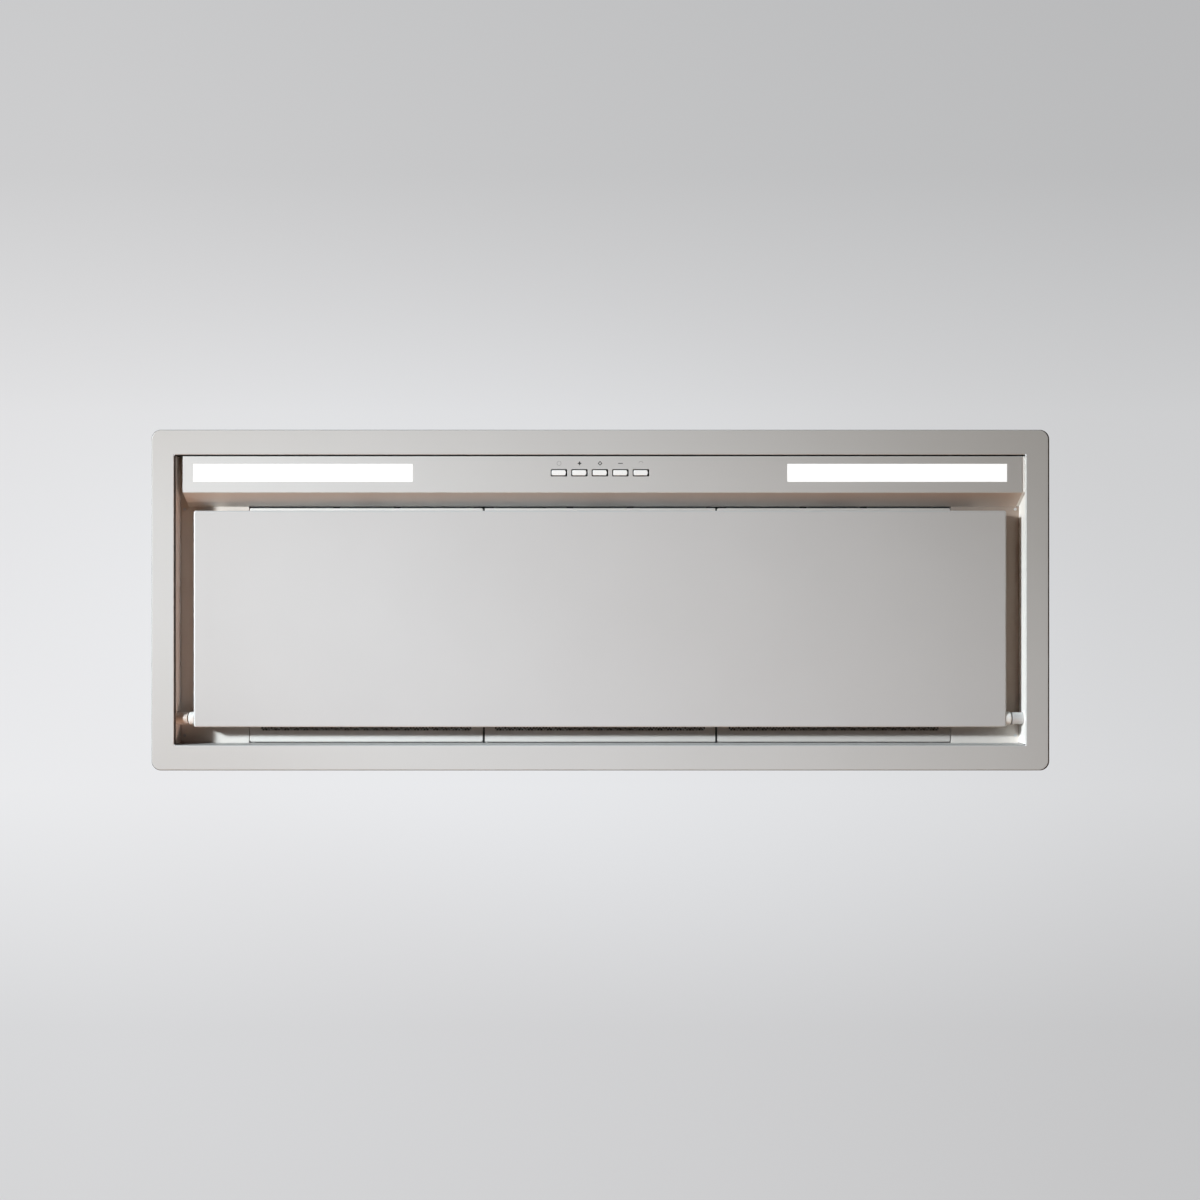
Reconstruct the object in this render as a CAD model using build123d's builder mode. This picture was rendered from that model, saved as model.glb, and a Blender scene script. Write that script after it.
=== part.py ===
from build123d import *
from math import cos, degrees, hypot, radians, sin
import os

os.makedirs("parts", exist_ok=True)

# Range hood insert, seen from below as a steel trim with a shallow recess. A light bar runs along
# the front of the recess, and a drop-down panel hides three grease filters, so that air is drawn
# in round the panel's edge. The casing above, out of sight in the cabinet, holds the blower.
# Sizes are in millimetres. The origin is at the centre of the trim's underside, +Z is up, the
# user stands on the -Y side and the wall is on the +Y side.

# Trim frame: flange against the cabinet, skirt round the recess
trim_w = 1050
trim_d = 398
trim_corner_r = 11
trim_t = 1.2
border_side = 26.5
border_front = 29
skirt_h = 34
mouth_corner_r = 2
fold_r = 1.4
relief_r = 1.1

# Filter deck: the recess ceiling
deck_z = 32
deck_t = 1.0
lip_h = 16
rail_w = 24
rail_lip_h = 5
rail_flange = 3.5
strip_rise = 3
cable_hole_r = 9
cable_bush_r = 10
cable_bush_bore_r = 6
cable_bush_lip = 1.5
deck_rivet_inset = 4.5
deck_rivet_gap = 3

# Grease filters, three in a row in one opening of the deck
bank_inset = 81
filter_h = 9
filter_gap = 1
filter_front_gap = 1.6
filter_rear_gap = 0.4
filter_border = 13.5
filter_t = 0.8
filter_corner_r = 2
filter_count = 3
mesh_t = 0.9
mesh_inset = 11.5
pleat_count = 24
tongue_w = 14
tongue_t = 1.5
tongue_reach = 2.4
tongue_x = 90
slot_clear = 0.5

# Filter latch: a spring bolt with two noses, pulled back by a grip under the frame
latch_travel = 4
latch_w = 90
latch_d = 6
latch_h = 5
latch_corner_r = 1
nose_w = 8
nose_h = 3
nose_x = 36
nose_reach = 2.6
grip_w = 24
grip_d = 2.5
grip_drop = 5
slide_clear = 0.3

# Light and control bar
bar_face_z = 2
bar_t = 1.0
bar_left_gap = 9.4
bar_right_gap = 3.6
bar_front_gap = 1.4
bar_face_d = 42.6
slope_run = 15
bar_return = 11
bar_fold_r = 0.8
panel_line = 19.5
window_end = 21.3
window_inner_x = 219.6
window_d = 21
lens_clear = 0.2
lens_proud = 0.3
lens_flange = 2.6
lens_t = 1.6
stud_r = 1.5
stud_h = 4.2

# Lamp carrier, a shallow aluminium channel over each lens, with its strip of LEDs
carrier_h = 12
carrier_t = 1.0
carrier_clear = 0.25
carrier_tab = 6.6
board_d = 10
board_t = 1.6
board_end = 4
chip_count = 14
chip_size = 3.4
chip_h = 0.8

# Push buttons, their guide and the control board
button_count = 5
button_pitch = 24
button_hole_w = 19.3
button_hole_d = 8.5
button_w = 17
button_d = 6.2
button_proud = 1.0
button_corner_r = 1.2
button_edge_r = 0.5
button_wall = 1.0
button_stem_r = 2
button_travel = 1.2
button_flange = 0.9
button_flange_t = 1.2
button_clear = 0.25
guide_t = 2
guide_margin = 20
guide_d = 28
guide_tube_h = 5
guide_tube_t = 1.2
guide_corner_r = 2
stud_inset = 4.1
post_r = 3
post_margin = 1
board_z = 14
control_t = 1.6
switch_size = 6
switch_clear = 0.2
plunger_r = 1.5
plunger_h = 1.5
header_w = 14
header_d = 6
header_h = 6
header_wall = 1.3
nut_r = 3.1
nut_h = 2.4

# Suction panel and its hinge
panel_side_gap = 21
panel_rear_gap = 20.5
panel_front_gap = 21
panel_z = 6
panel_h = 15.5
panel_t = 0.9
panel_lip = 10
panel_corner_r = 2.5
panel_fold_r = 2.0
hinge_inset = 10.2
hinge_z = 14
pin_r = 3
pin_clear = 0.05
bush_r = 7.5
bush_l = 6.5
bush_neck_r = 4.5
bush_collar_r = 6
bush_collar_l = 2.6
groove = 1.2
sleeve_r = 7
thread_r = 2.5
hinge_nut_r = 5
hinge_nut_h = 4
pin_end = 3
hat_w = 34
hat_h = 7.5
hat_rim = 8
hat_end = 36
catch_w = 24
catch_d = 12
catch_gap = 0.3
catch_inset = 20
catch_chamfer = 0.8

# Casing, blower box and outlet plate
casing_t = 1.0
casing_lap = 14
casing_top_z = 200
casing_corner_r = 3
bead_l = 190
bead_w = 16
bead_h = 2.5
bead_edge = 27.5
bead_taper = 35
box_w = 440
box_d = 308
box_h = 100
box_t = 1.0
box_rim = 12
box_mouth_rim = 4
lid_t = 1.0
lid_rim = 12

# Blower: a scroll drawn with four tangent arcs, and a double inlet wheel inside it
blower_y = -40
blower_z = 172
wheel_r = 80
wheel_w = 116
wheel_inner_r = 66
wheel_ring_t = 2
wheel_disc_t = 1.5
blade_count = 36
blade_t = 0.9
blade_lead = 11
blade_bow = 1.9
hub_r = 13
hub_l = 20
scroll_gap = 8
scroll_growth = 12
scroll_side_gap = 7
scroll_t = 1.2
tongue_angle = 62
tongue_r = 4
throat_lean = 10
inlet_r = 70
inlet_curl_r = 6
scroll_flange = 12

# Motor in the left inlet
shaft_r = 4
motor_r = 45
motor_out_l = 86
motor_hub_gap = 4
motor_dome = 9
motor_slot_count = 10
motor_slot_l = 17
motor_slot_r = 22.5
mount_ring_l = 18
mount_ring_t = 2.4
mount_arm_w = 16
mount_arm_t = 1.5
mount_bolt_r = 79
mount_bush_r = 7
mount_bush_l = 5.8

# Outlet collar with its two damper flaps
collar_outer_r = 74.5
collar_t = 2.0
collar_h = 42
collar_flange_edge = 8
collar_flange_t = 2.0
collar_bead = 2.0
collar_bead_h = 3.5
flap_lift = 15
flap_t = 1.2
flap_gap = 1.5
flap_pin_r = 1.5
knuckle_r = 2.9
knuckle_gap = 0.5
flap_notch_r = 3.6
flap_stop_w = 8
flap_stop_reach = 5
flap_stop_h = 4

# Electrics on and under the casing's top
terminal_y = 70
terminal_w = 92
terminal_d = 62
terminal_h = 38
terminal_wall = 2.5
terminal_cover_t = 2.5
terminal_post_r = 4
terminal_post_in = 5.5
block_w = 36
block_d = 20
block_h = 15
block_pitch = 11
block_hole_r = 3
block_hole_h = 8
gland_hex_r = 11
gland_hex_l = 5
gland_dome_l = 11
gland_dome_r = 9.5
gland_thread_r = 7.5
gland_bore_r = 4
gland_nut_l = 4
capacitor_y = 60
capacitor_r = 17
capacitor_l = 62
capacitor_edge_r = 2
spade_l = 9
spade_w = 6
spade_t = 1
clip_band_w = 14
clip_band_t = 1.0
driver_y = -70
driver_w = 120
driver_d = 42
driver_h = 26
driver_corner_r = 3
driver_edge_r = 2
driver_ear = 12
driver_ear_t = 2.5

# Side clips that snap over the cabinet's base board
board_max_t = 20
clip_w = 30
clip_t = 1.0
clip_leg_h = 46
clip_spread = 15
clip_fall = 42
clip_tip = 9
clip_bend_r = 2.5
clip_y = 105

# Small fasteners
screw_head_r = 3.6
screw_head_h = 2.2
screw_r = 2.0
screw_l = 6
hole_clear = 0.1
thread_clear = 0.05
thread_end = 1
board_screw_head_h = 1.6
rivet_head_r = 1.7
rivet_head_h = 0.7
rivet_r = 1.2

# Places that several pieces share
mouth_w = trim_w - 2 * border_side
mouth_d = trim_d - 2 * border_front
mouth_x = mouth_w / 2
mouth_y = mouth_d / 2
skirt_outer_x = mouth_x + trim_t
skirt_outer_y = mouth_y + trim_t
casing_outer_x = skirt_outer_x + casing_t
casing_outer_y = skirt_outer_y + casing_t
casing_bottom_z = skirt_h - casing_lap
box_top_z = casing_top_z + box_h
lid_top_z = box_top_z + lid_t

bar_left_x = -mouth_x + bar_left_gap
bar_l = mouth_w - bar_left_gap - bar_right_gap
bar_front_y = -mouth_y + bar_front_gap
bar_rear_y = bar_front_y + bar_face_d
bar_top_y = bar_rear_y + slope_run
bar_inner_z = bar_face_z + bar_t
line_y = bar_front_y + panel_line
window_x = (mouth_x - window_end + window_inner_x) / 2
window_w = mouth_x - window_end - window_inner_x
cable_x = mouth_x / 4
cable_y = (bar_front_y + bar_top_y) / 2

bank_w = mouth_w - 2 * bank_inset
bank_rear_y = mouth_y - deck_t
bank_front_y = bar_top_y
bank_d = bank_rear_y - bank_front_y
filter_w = (bank_w - filter_gap) / filter_count - filter_gap
filter_front_y = bank_front_y + filter_front_gap
filter_rear_y = bank_rear_y - filter_rear_gap
filter_d = filter_rear_y - filter_front_y
filter_y = (filter_front_y + filter_rear_y) / 2
filter_top_z = deck_z + filter_h
filter_xs = [(i - (filter_count - 1) / 2) * (filter_w + filter_gap) for i in range(filter_count)]
seam_xs = [(a + b) / 2 for a, b in zip(filter_xs, filter_xs[1:])]
filter_names = ["left", "centre", "right"]
tongue_z = deck_z + filter_h / 2 + 1
latch_y = filter_front_y + filter_t + slide_clear
grip_y = latch_y + latch_d - grip_d

panel_x = mouth_x - panel_side_gap
panel_front_y = bar_rear_y + panel_front_gap
panel_rear_y = mouth_y - panel_rear_gap
panel_w = 2 * panel_x
panel_d = panel_rear_y - panel_front_y
panel_y = (panel_front_y + panel_rear_y) / 2
panel_top_z = panel_z + panel_h
hinge_y = panel_rear_y - hinge_inset

rim_x = box_w / 2 + box_rim / 2
rim_y = box_d / 2 + box_rim / 2
rim_spots = [(side * rim_x, y) for side in (-1, 1) for y in (-box_d / 4, box_d / 4)]
rim_spots += [(x, side * rim_y) for side in (-1, 1) for x in (-box_w / 3, 0, box_w / 3)]
under_z = casing_top_z - casing_t
electrics_x = (rim_x + box_rim / 2 + casing_outer_x) / 2
band_r = capacitor_r + clip_band_t
ear_y = band_r + 2 * screw_head_r
band_spots = [(-electrics_x, capacitor_y - ear_y), (-electrics_x, capacitor_y + ear_y)]
driver_spots = [(electrics_x + i * (driver_w + driver_ear) / 2, driver_y) for i in (-1, 1)]
terminal_fix_spots = [(electrics_x + i * terminal_w / 3, terminal_y) for i in (-1, 1)]

deck_rivet_x = mouth_x - deck_rivet_inset
deck_rivet_y = mouth_y - 2 * deck_rivet_inset
deck_rivet_ys = (bar_top_y + deck_rivet_gap, deck_rivet_y)
deck_rivet_spots = [(x, y) for x in (-deck_rivet_x, deck_rivet_x) for y in deck_rivet_ys]

clip_top_z = trim_t + board_max_t + clip_fall + clip_leg_h
clip_bend_z = clip_top_z - clip_leg_h
clip_low_z = clip_bend_z - clip_fall
clip_ys = (-clip_y, clip_y)
clip_rivet_spots = [(y, clip_bend_z + clip_leg_h * share) for y in clip_ys for share in (0.25, 0.75)]

sides = (("left", -1), ("right", 1))
centred = (Align.CENTER, Align.CENTER, Align.CENTER)
standing = (Align.CENTER, Align.CENTER, Align.MIN)
hanging = (Align.CENTER, Align.CENTER, Align.MAX)

# Trim frame. The flange and the skirt are folded from one sheet, so the mouth's edge is rounded
# and each corner of the fold has a small relief hole.
with BuildPart() as trim_frame:
    with BuildSketch():
        RectangleRounded(trim_w, trim_d, trim_corner_r)
        RectangleRounded(mouth_w, mouth_d, mouth_corner_r, mode=Mode.SUBTRACT)
    extrude(amount=trim_t)
    with BuildSketch():
        RectangleRounded(2 * skirt_outer_x, 2 * skirt_outer_y, mouth_corner_r + trim_t)
        RectangleRounded(mouth_w, mouth_d, mouth_corner_r, mode=Mode.SUBTRACT)
    extrude(amount=skirt_h)
    underside = trim_frame.faces().sort_by(Axis.Z)[0]
    fillet(underside.inner_wires()[0].edges(), radius=fold_r)
    fillet(trim_frame.faces().sort_by(Axis.Z)[0].outer_wire().edges(), radius=trim_t / 2)
    with Locations(*[(x, y, 0) for x in (-mouth_x, mouth_x) for y in (-mouth_y, mouth_y)]):
        Cylinder(relief_r, 2 * fold_r + trim_t, align=standing, mode=Mode.SUBTRACT)
    with Locations(Plane.YZ):
        with Locations((hinge_y, hinge_z)):
            Cylinder(thread_r + hole_clear, trim_w, align=centred, mode=Mode.SUBTRACT)
trim_frame.part.label = "trim_frame"
export_step(trim_frame.part, "parts/trim_frame.step")

# Filter deck. A tray with turned-up edges, cut out from its middle to its rear edge for the
# filters, with slots for their latch noses and a bushed hole for the lamps' cables.
with BuildPart() as filter_deck:
    with BuildSketch(Plane.XY.offset(deck_z)):
        RectangleRounded(mouth_w, mouth_d, mouth_corner_r)
    extrude(amount=deck_t)
    with BuildSketch(Plane.XY.offset(deck_z)):
        RectangleRounded(mouth_w, mouth_d, mouth_corner_r)
        RectangleRounded(
            mouth_w - 2 * deck_t, mouth_d - 2 * deck_t, mouth_corner_r - deck_t, mode=Mode.SUBTRACT
        )
        with Locations((0, bank_front_y - deck_t)):
            Rectangle(bank_w + 2 * deck_t, mouth_y - bank_front_y + deck_t, align=(Align.CENTER, Align.MIN))
    extrude(amount=lip_h)
    with BuildSketch(Plane.XY.offset(deck_z)):
        with Locations((0, bank_front_y)):
            Rectangle(bank_w, mouth_y - bank_front_y, align=(Align.CENTER, Align.MIN))
    extrude(amount=lip_h, mode=Mode.SUBTRACT)
    for x in filter_xs:
        with Locations(*[(x + dx, bank_front_y - deck_t / 2, tongue_z) for dx in (-nose_x, nose_x)]):
            Box(nose_w + 2 * slot_clear, deck_t, nose_h + 2 * slot_clear, mode=Mode.SUBTRACT)
    with Locations((cable_x, cable_y, deck_z)):
        Cylinder(cable_hole_r, deck_t, align=standing, mode=Mode.SUBTRACT)
    with Locations(*[(x, y, deck_z) for x, y in deck_rivet_spots]):
        Cylinder(rivet_r + hole_clear, deck_t, align=standing, mode=Mode.SUBTRACT)
filter_deck.part.label = "filter_deck"
export_step(filter_deck.part, "parts/filter_deck.step")

# Filter rails. A strip closes the deck's cut-out along the rear wall, with slots for the filters'
# tongues, and a channel over each seam between filters runs from it to the deck's front lip.
with BuildPart() as filter_rails:
    with BuildSketch(Plane.YZ.offset(-bank_w / 2)):
        with Locations((mouth_y, deck_z + strip_rise)):
            Rectangle(deck_t, lip_h - strip_rise, align=(Align.MAX, Align.MIN))
        with Locations((mouth_y, deck_z + lip_h)):
            Rectangle(rail_flange, deck_t, align=(Align.MAX, Align.MAX))
    extrude(amount=bank_w)
    with BuildSketch(Plane.XZ.offset(-bank_front_y)):
        with Locations(*[(x, filter_top_z + slide_clear) for x in seam_xs]):
            Rectangle(rail_w, rail_lip_h + deck_t, align=(Align.CENTER, Align.MIN))
        with Locations(*[(x, filter_top_z + slide_clear + deck_t) for x in seam_xs]):
            Rectangle(rail_w - 2 * deck_t, rail_lip_h, align=(Align.CENTER, Align.MIN), mode=Mode.SUBTRACT)
    extrude(amount=-bank_d)
    for x in filter_xs:
        with Locations(*[(x + dx, bank_rear_y + deck_t / 2, tongue_z) for dx in (-tongue_x, tongue_x)]):
            Box(tongue_w + 2 * slot_clear, deck_t, tongue_t + 2 * slot_clear, mode=Mode.SUBTRACT)
filter_rails.part.label = "filter_rails"
export_step(filter_rails.part, "parts/filter_rails.step")

# Cable bush, a rubber ring snapped into the deck's hole over the light bar.
with BuildPart() as cable_bush:
    with BuildSketch(Plane.XZ.offset(-cable_y)):
        with Locations((cable_x, deck_z + deck_t / 2)):
            with Locations(((cable_bush_r + cable_bush_bore_r) / 2, 0)):
                Rectangle(cable_bush_r - cable_bush_bore_r, deck_t + 2 * cable_bush_lip)
            with Locations(((cable_bush_r + cable_hole_r) / 2, 0)):
                Rectangle(cable_bush_r - cable_hole_r, deck_t, mode=Mode.SUBTRACT)
    revolve(axis=Axis((cable_x, cable_y, 0), (0, 0, 1)))
cable_bush.part.label = "cable_bush"
export_step(cable_bush.part, "parts/cable_bush.step")

# Grease filters. Each frame is a channel folded inwards all round, with two tongues behind that
# drop into the deck, and openings in front for its latch.
for name, x in zip(filter_names, filter_xs):
    with BuildPart() as filter_frame:
        with BuildSketch(Plane.XY.offset(deck_z)):
            with Locations((x, filter_y)):
                RectangleRounded(filter_w, filter_d, filter_corner_r)
        extrude(amount=filter_h)
        with BuildSketch(Plane.XY.offset(deck_z + filter_t)):
            with Locations((x, filter_y)):
                RectangleRounded(
                    filter_w - 2 * filter_t, filter_d - 2 * filter_t, filter_corner_r - filter_t
                )
        extrude(amount=filter_h - 2 * filter_t, mode=Mode.SUBTRACT)
        with BuildSketch(Plane.XY.offset(deck_z)):
            with Locations((x, filter_y)):
                RectangleRounded(filter_w - 2 * filter_border, filter_d - 2 * filter_border, filter_corner_r)
        extrude(amount=filter_h, mode=Mode.SUBTRACT)
        with Locations(*[(x + dx, filter_rear_y, tongue_z) for dx in (-tongue_x, tongue_x)]):
            Box(tongue_w, tongue_reach, tongue_t, align=(Align.CENTER, Align.MIN, Align.CENTER))
        with Locations(*[(x + dx, filter_front_y, tongue_z) for dx in (-nose_x, nose_x)]):
            Box(nose_w + 2 * slide_clear, 3 * filter_t, nose_h + 2 * slide_clear, mode=Mode.SUBTRACT)
        with Locations((x, grip_y + (grip_d + latch_travel) / 2, deck_z)):
            Box(
                grip_w + 2 * slide_clear,
                grip_d + latch_travel + 2 * slide_clear,
                2 * filter_t,
                mode=Mode.SUBTRACT,
            )
    filter_frame.part.label = f"filter_frame_{name}"
    export_step(filter_frame.part, f"parts/filter_frame_{name}.step")

# Filter mesh, a pack of expanded sheet pleated from side to side and clamped in the channel.
mesh_w = filter_w - 2 * mesh_inset
mesh_d = filter_d - 2 * mesh_inset
mesh_low_z = deck_z + filter_t
mesh_high_z = filter_top_z - filter_t - mesh_t
pleat_ys = [filter_y - mesh_d / 2 + i * mesh_d / (2 * pleat_count) for i in range(2 * pleat_count + 1)]
pleat_line = [(y, mesh_high_z if i % 2 else mesh_low_z) for i, y in enumerate(pleat_ys)]
for name, x in zip(filter_names, filter_xs):
    with BuildPart() as filter_mesh:
        with BuildSketch(Plane.YZ.offset(x - mesh_w / 2)):
            with BuildLine():
                Polyline(*pleat_line, *[(y, z + mesh_t) for y, z in reversed(pleat_line)], close=True)
            make_face()
        extrude(amount=mesh_w)
    filter_mesh.part.label = f"filter_mesh_{name}"
    export_step(filter_mesh.part, f"parts/filter_mesh_{name}.step")

# Filter latches. A moulded bar slides in the front channel, with two noses through the deck's
# front lip and a finger grip below.
nose_l = latch_y - (bank_front_y - deck_t) + nose_reach
for name, x in zip(filter_names, filter_xs):
    with BuildPart() as filter_latch:
        with BuildSketch(Plane.XY.offset(tongue_z - latch_h / 2)):
            with Locations((x, latch_y)):
                Rectangle(latch_w, latch_d, align=(Align.CENTER, Align.MIN))
            fillet(vertices(), radius=latch_corner_r)
        extrude(amount=latch_h)
        with Locations(*[(x + dx, latch_y, tongue_z) for dx in (-nose_x, nose_x)]):
            Box(nose_w, nose_l, nose_h, align=(Align.CENTER, Align.MAX, Align.CENTER))
        nose_tips = filter_latch.edges().filter_by(Axis.X).group_by(Axis.Y)[0].group_by(Axis.Z)[-1]
        chamfer(nose_tips, length=nose_h / 2)
        with Locations((x, grip_y, tongue_z - latch_h / 2)):
            Box(
                grip_w,
                grip_d,
                tongue_z - latch_h / 2 - deck_z + grip_drop,
                align=(Align.CENTER, Align.MIN, Align.MAX),
            )
        grip_edges = filter_latch.edges().group_by(Axis.Z)[0].filter_by(Axis.X)
        fillet(grip_edges, radius=grip_d / 3)
    filter_latch.part.label = f"filter_latch_{name}"
    export_step(filter_latch.part, f"parts/filter_latch_{name}.step")

# Light and control bar. A folded steel box with a sloping rear face, closed at its ends, open at
# the top under the deck, with weld studs for what it carries. It reaches closer to the mouth's
# right side than to its left.
window_y = line_y
carrier_l = window_w + 2 * (lens_flange + carrier_clear + carrier_t)
carrier_d = window_d + 2 * (lens_flange + carrier_clear + carrier_t)
stud_dx = carrier_l / 2 + carrier_tab / 2
button_xs = [(i - (button_count - 1) / 2) * button_pitch for i in range(button_count)]
guide_w = button_pitch * button_count + 2 * guide_margin
guide_stud_x = guide_w / 2 - stud_inset
bar_outline = [
    (bar_front_y, bar_face_z),
    (bar_rear_y, bar_face_z),
    (bar_top_y, deck_z),
    (bar_front_y, deck_z),
]
with BuildPart() as control_bar:
    with BuildSketch(Plane.YZ.offset(bar_left_x)):
        with BuildLine():
            Polyline(*bar_outline, close=True)
        make_face()
    extrude(amount=bar_l)
    fillet(control_bar.edges().filter_by(Axis.X).group_by(Axis.Z)[0], radius=bar_fold_r)
    with BuildSketch(Plane.YZ.offset(bar_left_x + bar_t)):
        with BuildLine():
            Polyline(*bar_outline, close=True)
        make_face()
        offset(amount=-bar_t, mode=Mode.REPLACE)
    extrude(amount=bar_l - 2 * bar_t, mode=Mode.SUBTRACT)
    with BuildSketch(Plane.XY.offset(deck_z - bar_t)):
        with Locations((bar_left_x + bar_return, bar_front_y + bar_return)):
            Rectangle(
                bar_l - 2 * bar_return,
                bar_top_y - bar_front_y - 2 * bar_return,
                align=(Align.MIN, Align.MIN),
            )
    extrude(amount=bar_t, mode=Mode.SUBTRACT)
    with BuildSketch(Plane.XY.offset(bar_face_z)):
        with Locations((-window_x, window_y), (window_x, window_y)):
            Rectangle(window_w, window_d)
        with Locations(*[(x, line_y) for x in button_xs]):
            RectangleRounded(button_hole_w, button_hole_d, button_corner_r)
    extrude(amount=bar_t, mode=Mode.SUBTRACT)
    stud_spots = [(side * window_x + dx, line_y) for side in (-1, 1) for dx in (-stud_dx, stud_dx)]
    stud_spots += [(-guide_stud_x, line_y), (guide_stud_x, line_y)]
    with Locations(*[(x, y, bar_inner_z) for x, y in stud_spots]):
        Cylinder(stud_r, stud_h, align=standing)
control_bar.part.label = "control_bar"
export_step(control_bar.part, "parts/control_bar.step")

# Stud nuts, which hold the lamp carriers and the button guide in the bar.
with BuildPart() as stud_nuts:
    for x, y in stud_spots:
        seat = bar_inner_z + (guide_t if abs(x) < guide_w / 2 else carrier_t)
        with BuildSketch(Plane.XY.offset(seat)):
            with Locations((x, y)):
                RegularPolygon(nut_r, 6)
                Circle(stud_r + hole_clear, mode=Mode.SUBTRACT)
        extrude(amount=nut_h)
stud_nuts.part.label = "stud_nuts"
export_step(stud_nuts.part, "parts/stud_nuts.step")

for name, side in sides:
    # Lamp lens, an opal strip whose flange lies on the bar's inner face and whose raised middle
    # fills the window.
    with BuildPart() as light_lens:
        with BuildSketch(Plane.XY.offset(bar_inner_z)):
            with Locations((side * window_x, window_y)):
                Rectangle(window_w + 2 * lens_flange, window_d + 2 * lens_flange)
        extrude(amount=lens_t)
        with BuildSketch(Plane.XY.offset(bar_inner_z)):
            with Locations((side * window_x, window_y)):
                Rectangle(window_w - 2 * lens_clear, window_d - 2 * lens_clear)
        extrude(amount=-(bar_t + lens_proud))
    light_lens.part.label = f"light_lens_{name}"
    export_step(light_lens.part, f"parts/light_lens_{name}.step")

    # Lamp carrier, a channel that stands over the lens, with a tab and a stud hole at each end.
    with BuildPart() as lamp_carrier:
        with BuildSketch(Plane.XY.offset(bar_inner_z)):
            with Locations((side * window_x, window_y)):
                Rectangle(carrier_l, carrier_d)
        extrude(amount=carrier_h)
        with BuildSketch(Plane.XY.offset(bar_inner_z)):
            with Locations((side * window_x, window_y)):
                Rectangle(carrier_l - 2 * carrier_t, carrier_d - 2 * carrier_t)
        extrude(amount=carrier_h - carrier_t, mode=Mode.SUBTRACT)
        with BuildSketch(Plane.XY.offset(bar_inner_z)):
            with Locations((side * window_x - stud_dx, window_y), (side * window_x + stud_dx, window_y)):
                RectangleRounded(carrier_tab, carrier_d, 1)
                Circle(stud_r + hole_clear, mode=Mode.SUBTRACT)
        extrude(amount=carrier_t)
    lamp_carrier.part.label = f"lamp_carrier_{name}"
    export_step(lamp_carrier.part, f"parts/lamp_carrier_{name}.step")

    # LED board, under the carrier's web, with its row of chips facing the lens.
    with BuildPart() as led_board:
        with Locations((side * window_x, window_y, bar_inner_z + carrier_h - carrier_t)):
            Box(window_w - 2 * board_end, board_d, board_t, align=hanging)
        chip_pitch = (window_w - 4 * board_end) / chip_count
        chip_xs = [side * window_x + (i - (chip_count - 1) / 2) * chip_pitch for i in range(chip_count)]
        with Locations(*[(x, window_y, bar_inner_z + carrier_h - carrier_t - board_t) for x in chip_xs]):
            Box(chip_size, chip_size, chip_h, align=hanging)
    led_board.part.label = f"led_board_{name}"
    export_step(led_board.part, f"parts/led_board_{name}.step")

# Button guide, a moulded plate behind the bar with a tube for each button and a post at each
# corner of the control board.
guide_top_z = bar_inner_z + guide_t
post_dx = button_pitch * button_count / 2 + post_margin
post_dy = guide_d / 2 - post_r - post_margin
with BuildPart() as button_guide:
    with BuildSketch(Plane.XY.offset(bar_inner_z)):
        with Locations((0, line_y)):
            RectangleRounded(guide_w, guide_d, guide_corner_r)
        with Locations((-guide_stud_x, line_y), (guide_stud_x, line_y)):
            Circle(stud_r + hole_clear, mode=Mode.SUBTRACT)
    extrude(amount=guide_t)
    tube_w = button_w + 2 * (button_flange + button_clear)
    tube_d = button_d + 2 * (button_flange + button_clear)
    with BuildSketch(Plane.XY.offset(guide_top_z)):
        with Locations(*[(x, line_y) for x in button_xs]):
            Rectangle(tube_w + 2 * guide_tube_t, tube_d + 2 * guide_tube_t)
            Rectangle(tube_w, tube_d, mode=Mode.SUBTRACT)
    extrude(amount=guide_tube_h)
    with BuildSketch(Plane.XY.offset(bar_inner_z)):
        with Locations(*[(x, line_y) for x in button_xs]):
            RectangleRounded(button_w + 2 * button_clear, button_d + 2 * button_clear, button_corner_r)
    extrude(amount=guide_t, mode=Mode.SUBTRACT)
    post_spots = [(x, line_y + y) for x in (-post_dx, post_dx) for y in (-post_dy, post_dy)]
    with Locations(*[(x, y, guide_top_z) for x, y in post_spots]):
        Cylinder(post_r, board_z - guide_top_z, align=standing)
        Cylinder(stud_r, board_z - guide_top_z, align=standing, mode=Mode.SUBTRACT)
button_guide.part.label = "button_guide"
export_step(button_guide.part, "parts/button_guide.step")

# Buttons. A cap with a hollow back, a rim that rests on the guide and a stem to its switch.
button_names = ["light", "faster", "boost", "slower", "power"]
cap_low_z = bar_face_z - button_proud
switch_h = board_z - guide_top_z - button_flange_t - button_travel - 2 * switch_clear
for name, x in zip(button_names, button_xs):
    with BuildPart() as button:
        with BuildSketch(Plane.XY.offset(cap_low_z)):
            with Locations((x, line_y)):
                RectangleRounded(button_w, button_d, button_corner_r)
        extrude(amount=guide_top_z + button_flange_t - cap_low_z)
        fillet(button.edges().group_by(Axis.Z)[0], radius=button_edge_r)
        with BuildSketch(Plane.XY.offset(guide_top_z)):
            with Locations((x, line_y)):
                RectangleRounded(button_w + 2 * button_flange, button_d + 2 * button_flange, button_corner_r)
        extrude(amount=button_flange_t)
        with Locations((x, line_y, guide_top_z + button_flange_t)):
            pocket_h = guide_top_z + button_flange_t - cap_low_z - button_wall
            Box(
                button_w - 2 * button_wall,
                button_d - 2 * button_wall,
                pocket_h,
                align=hanging,
                mode=Mode.SUBTRACT,
            )
            Cylinder(button_stem_r, pocket_h, align=hanging)
    button.part.label = f"button_{name}"
    export_step(button.part, f"parts/button_{name}.step")

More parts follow.
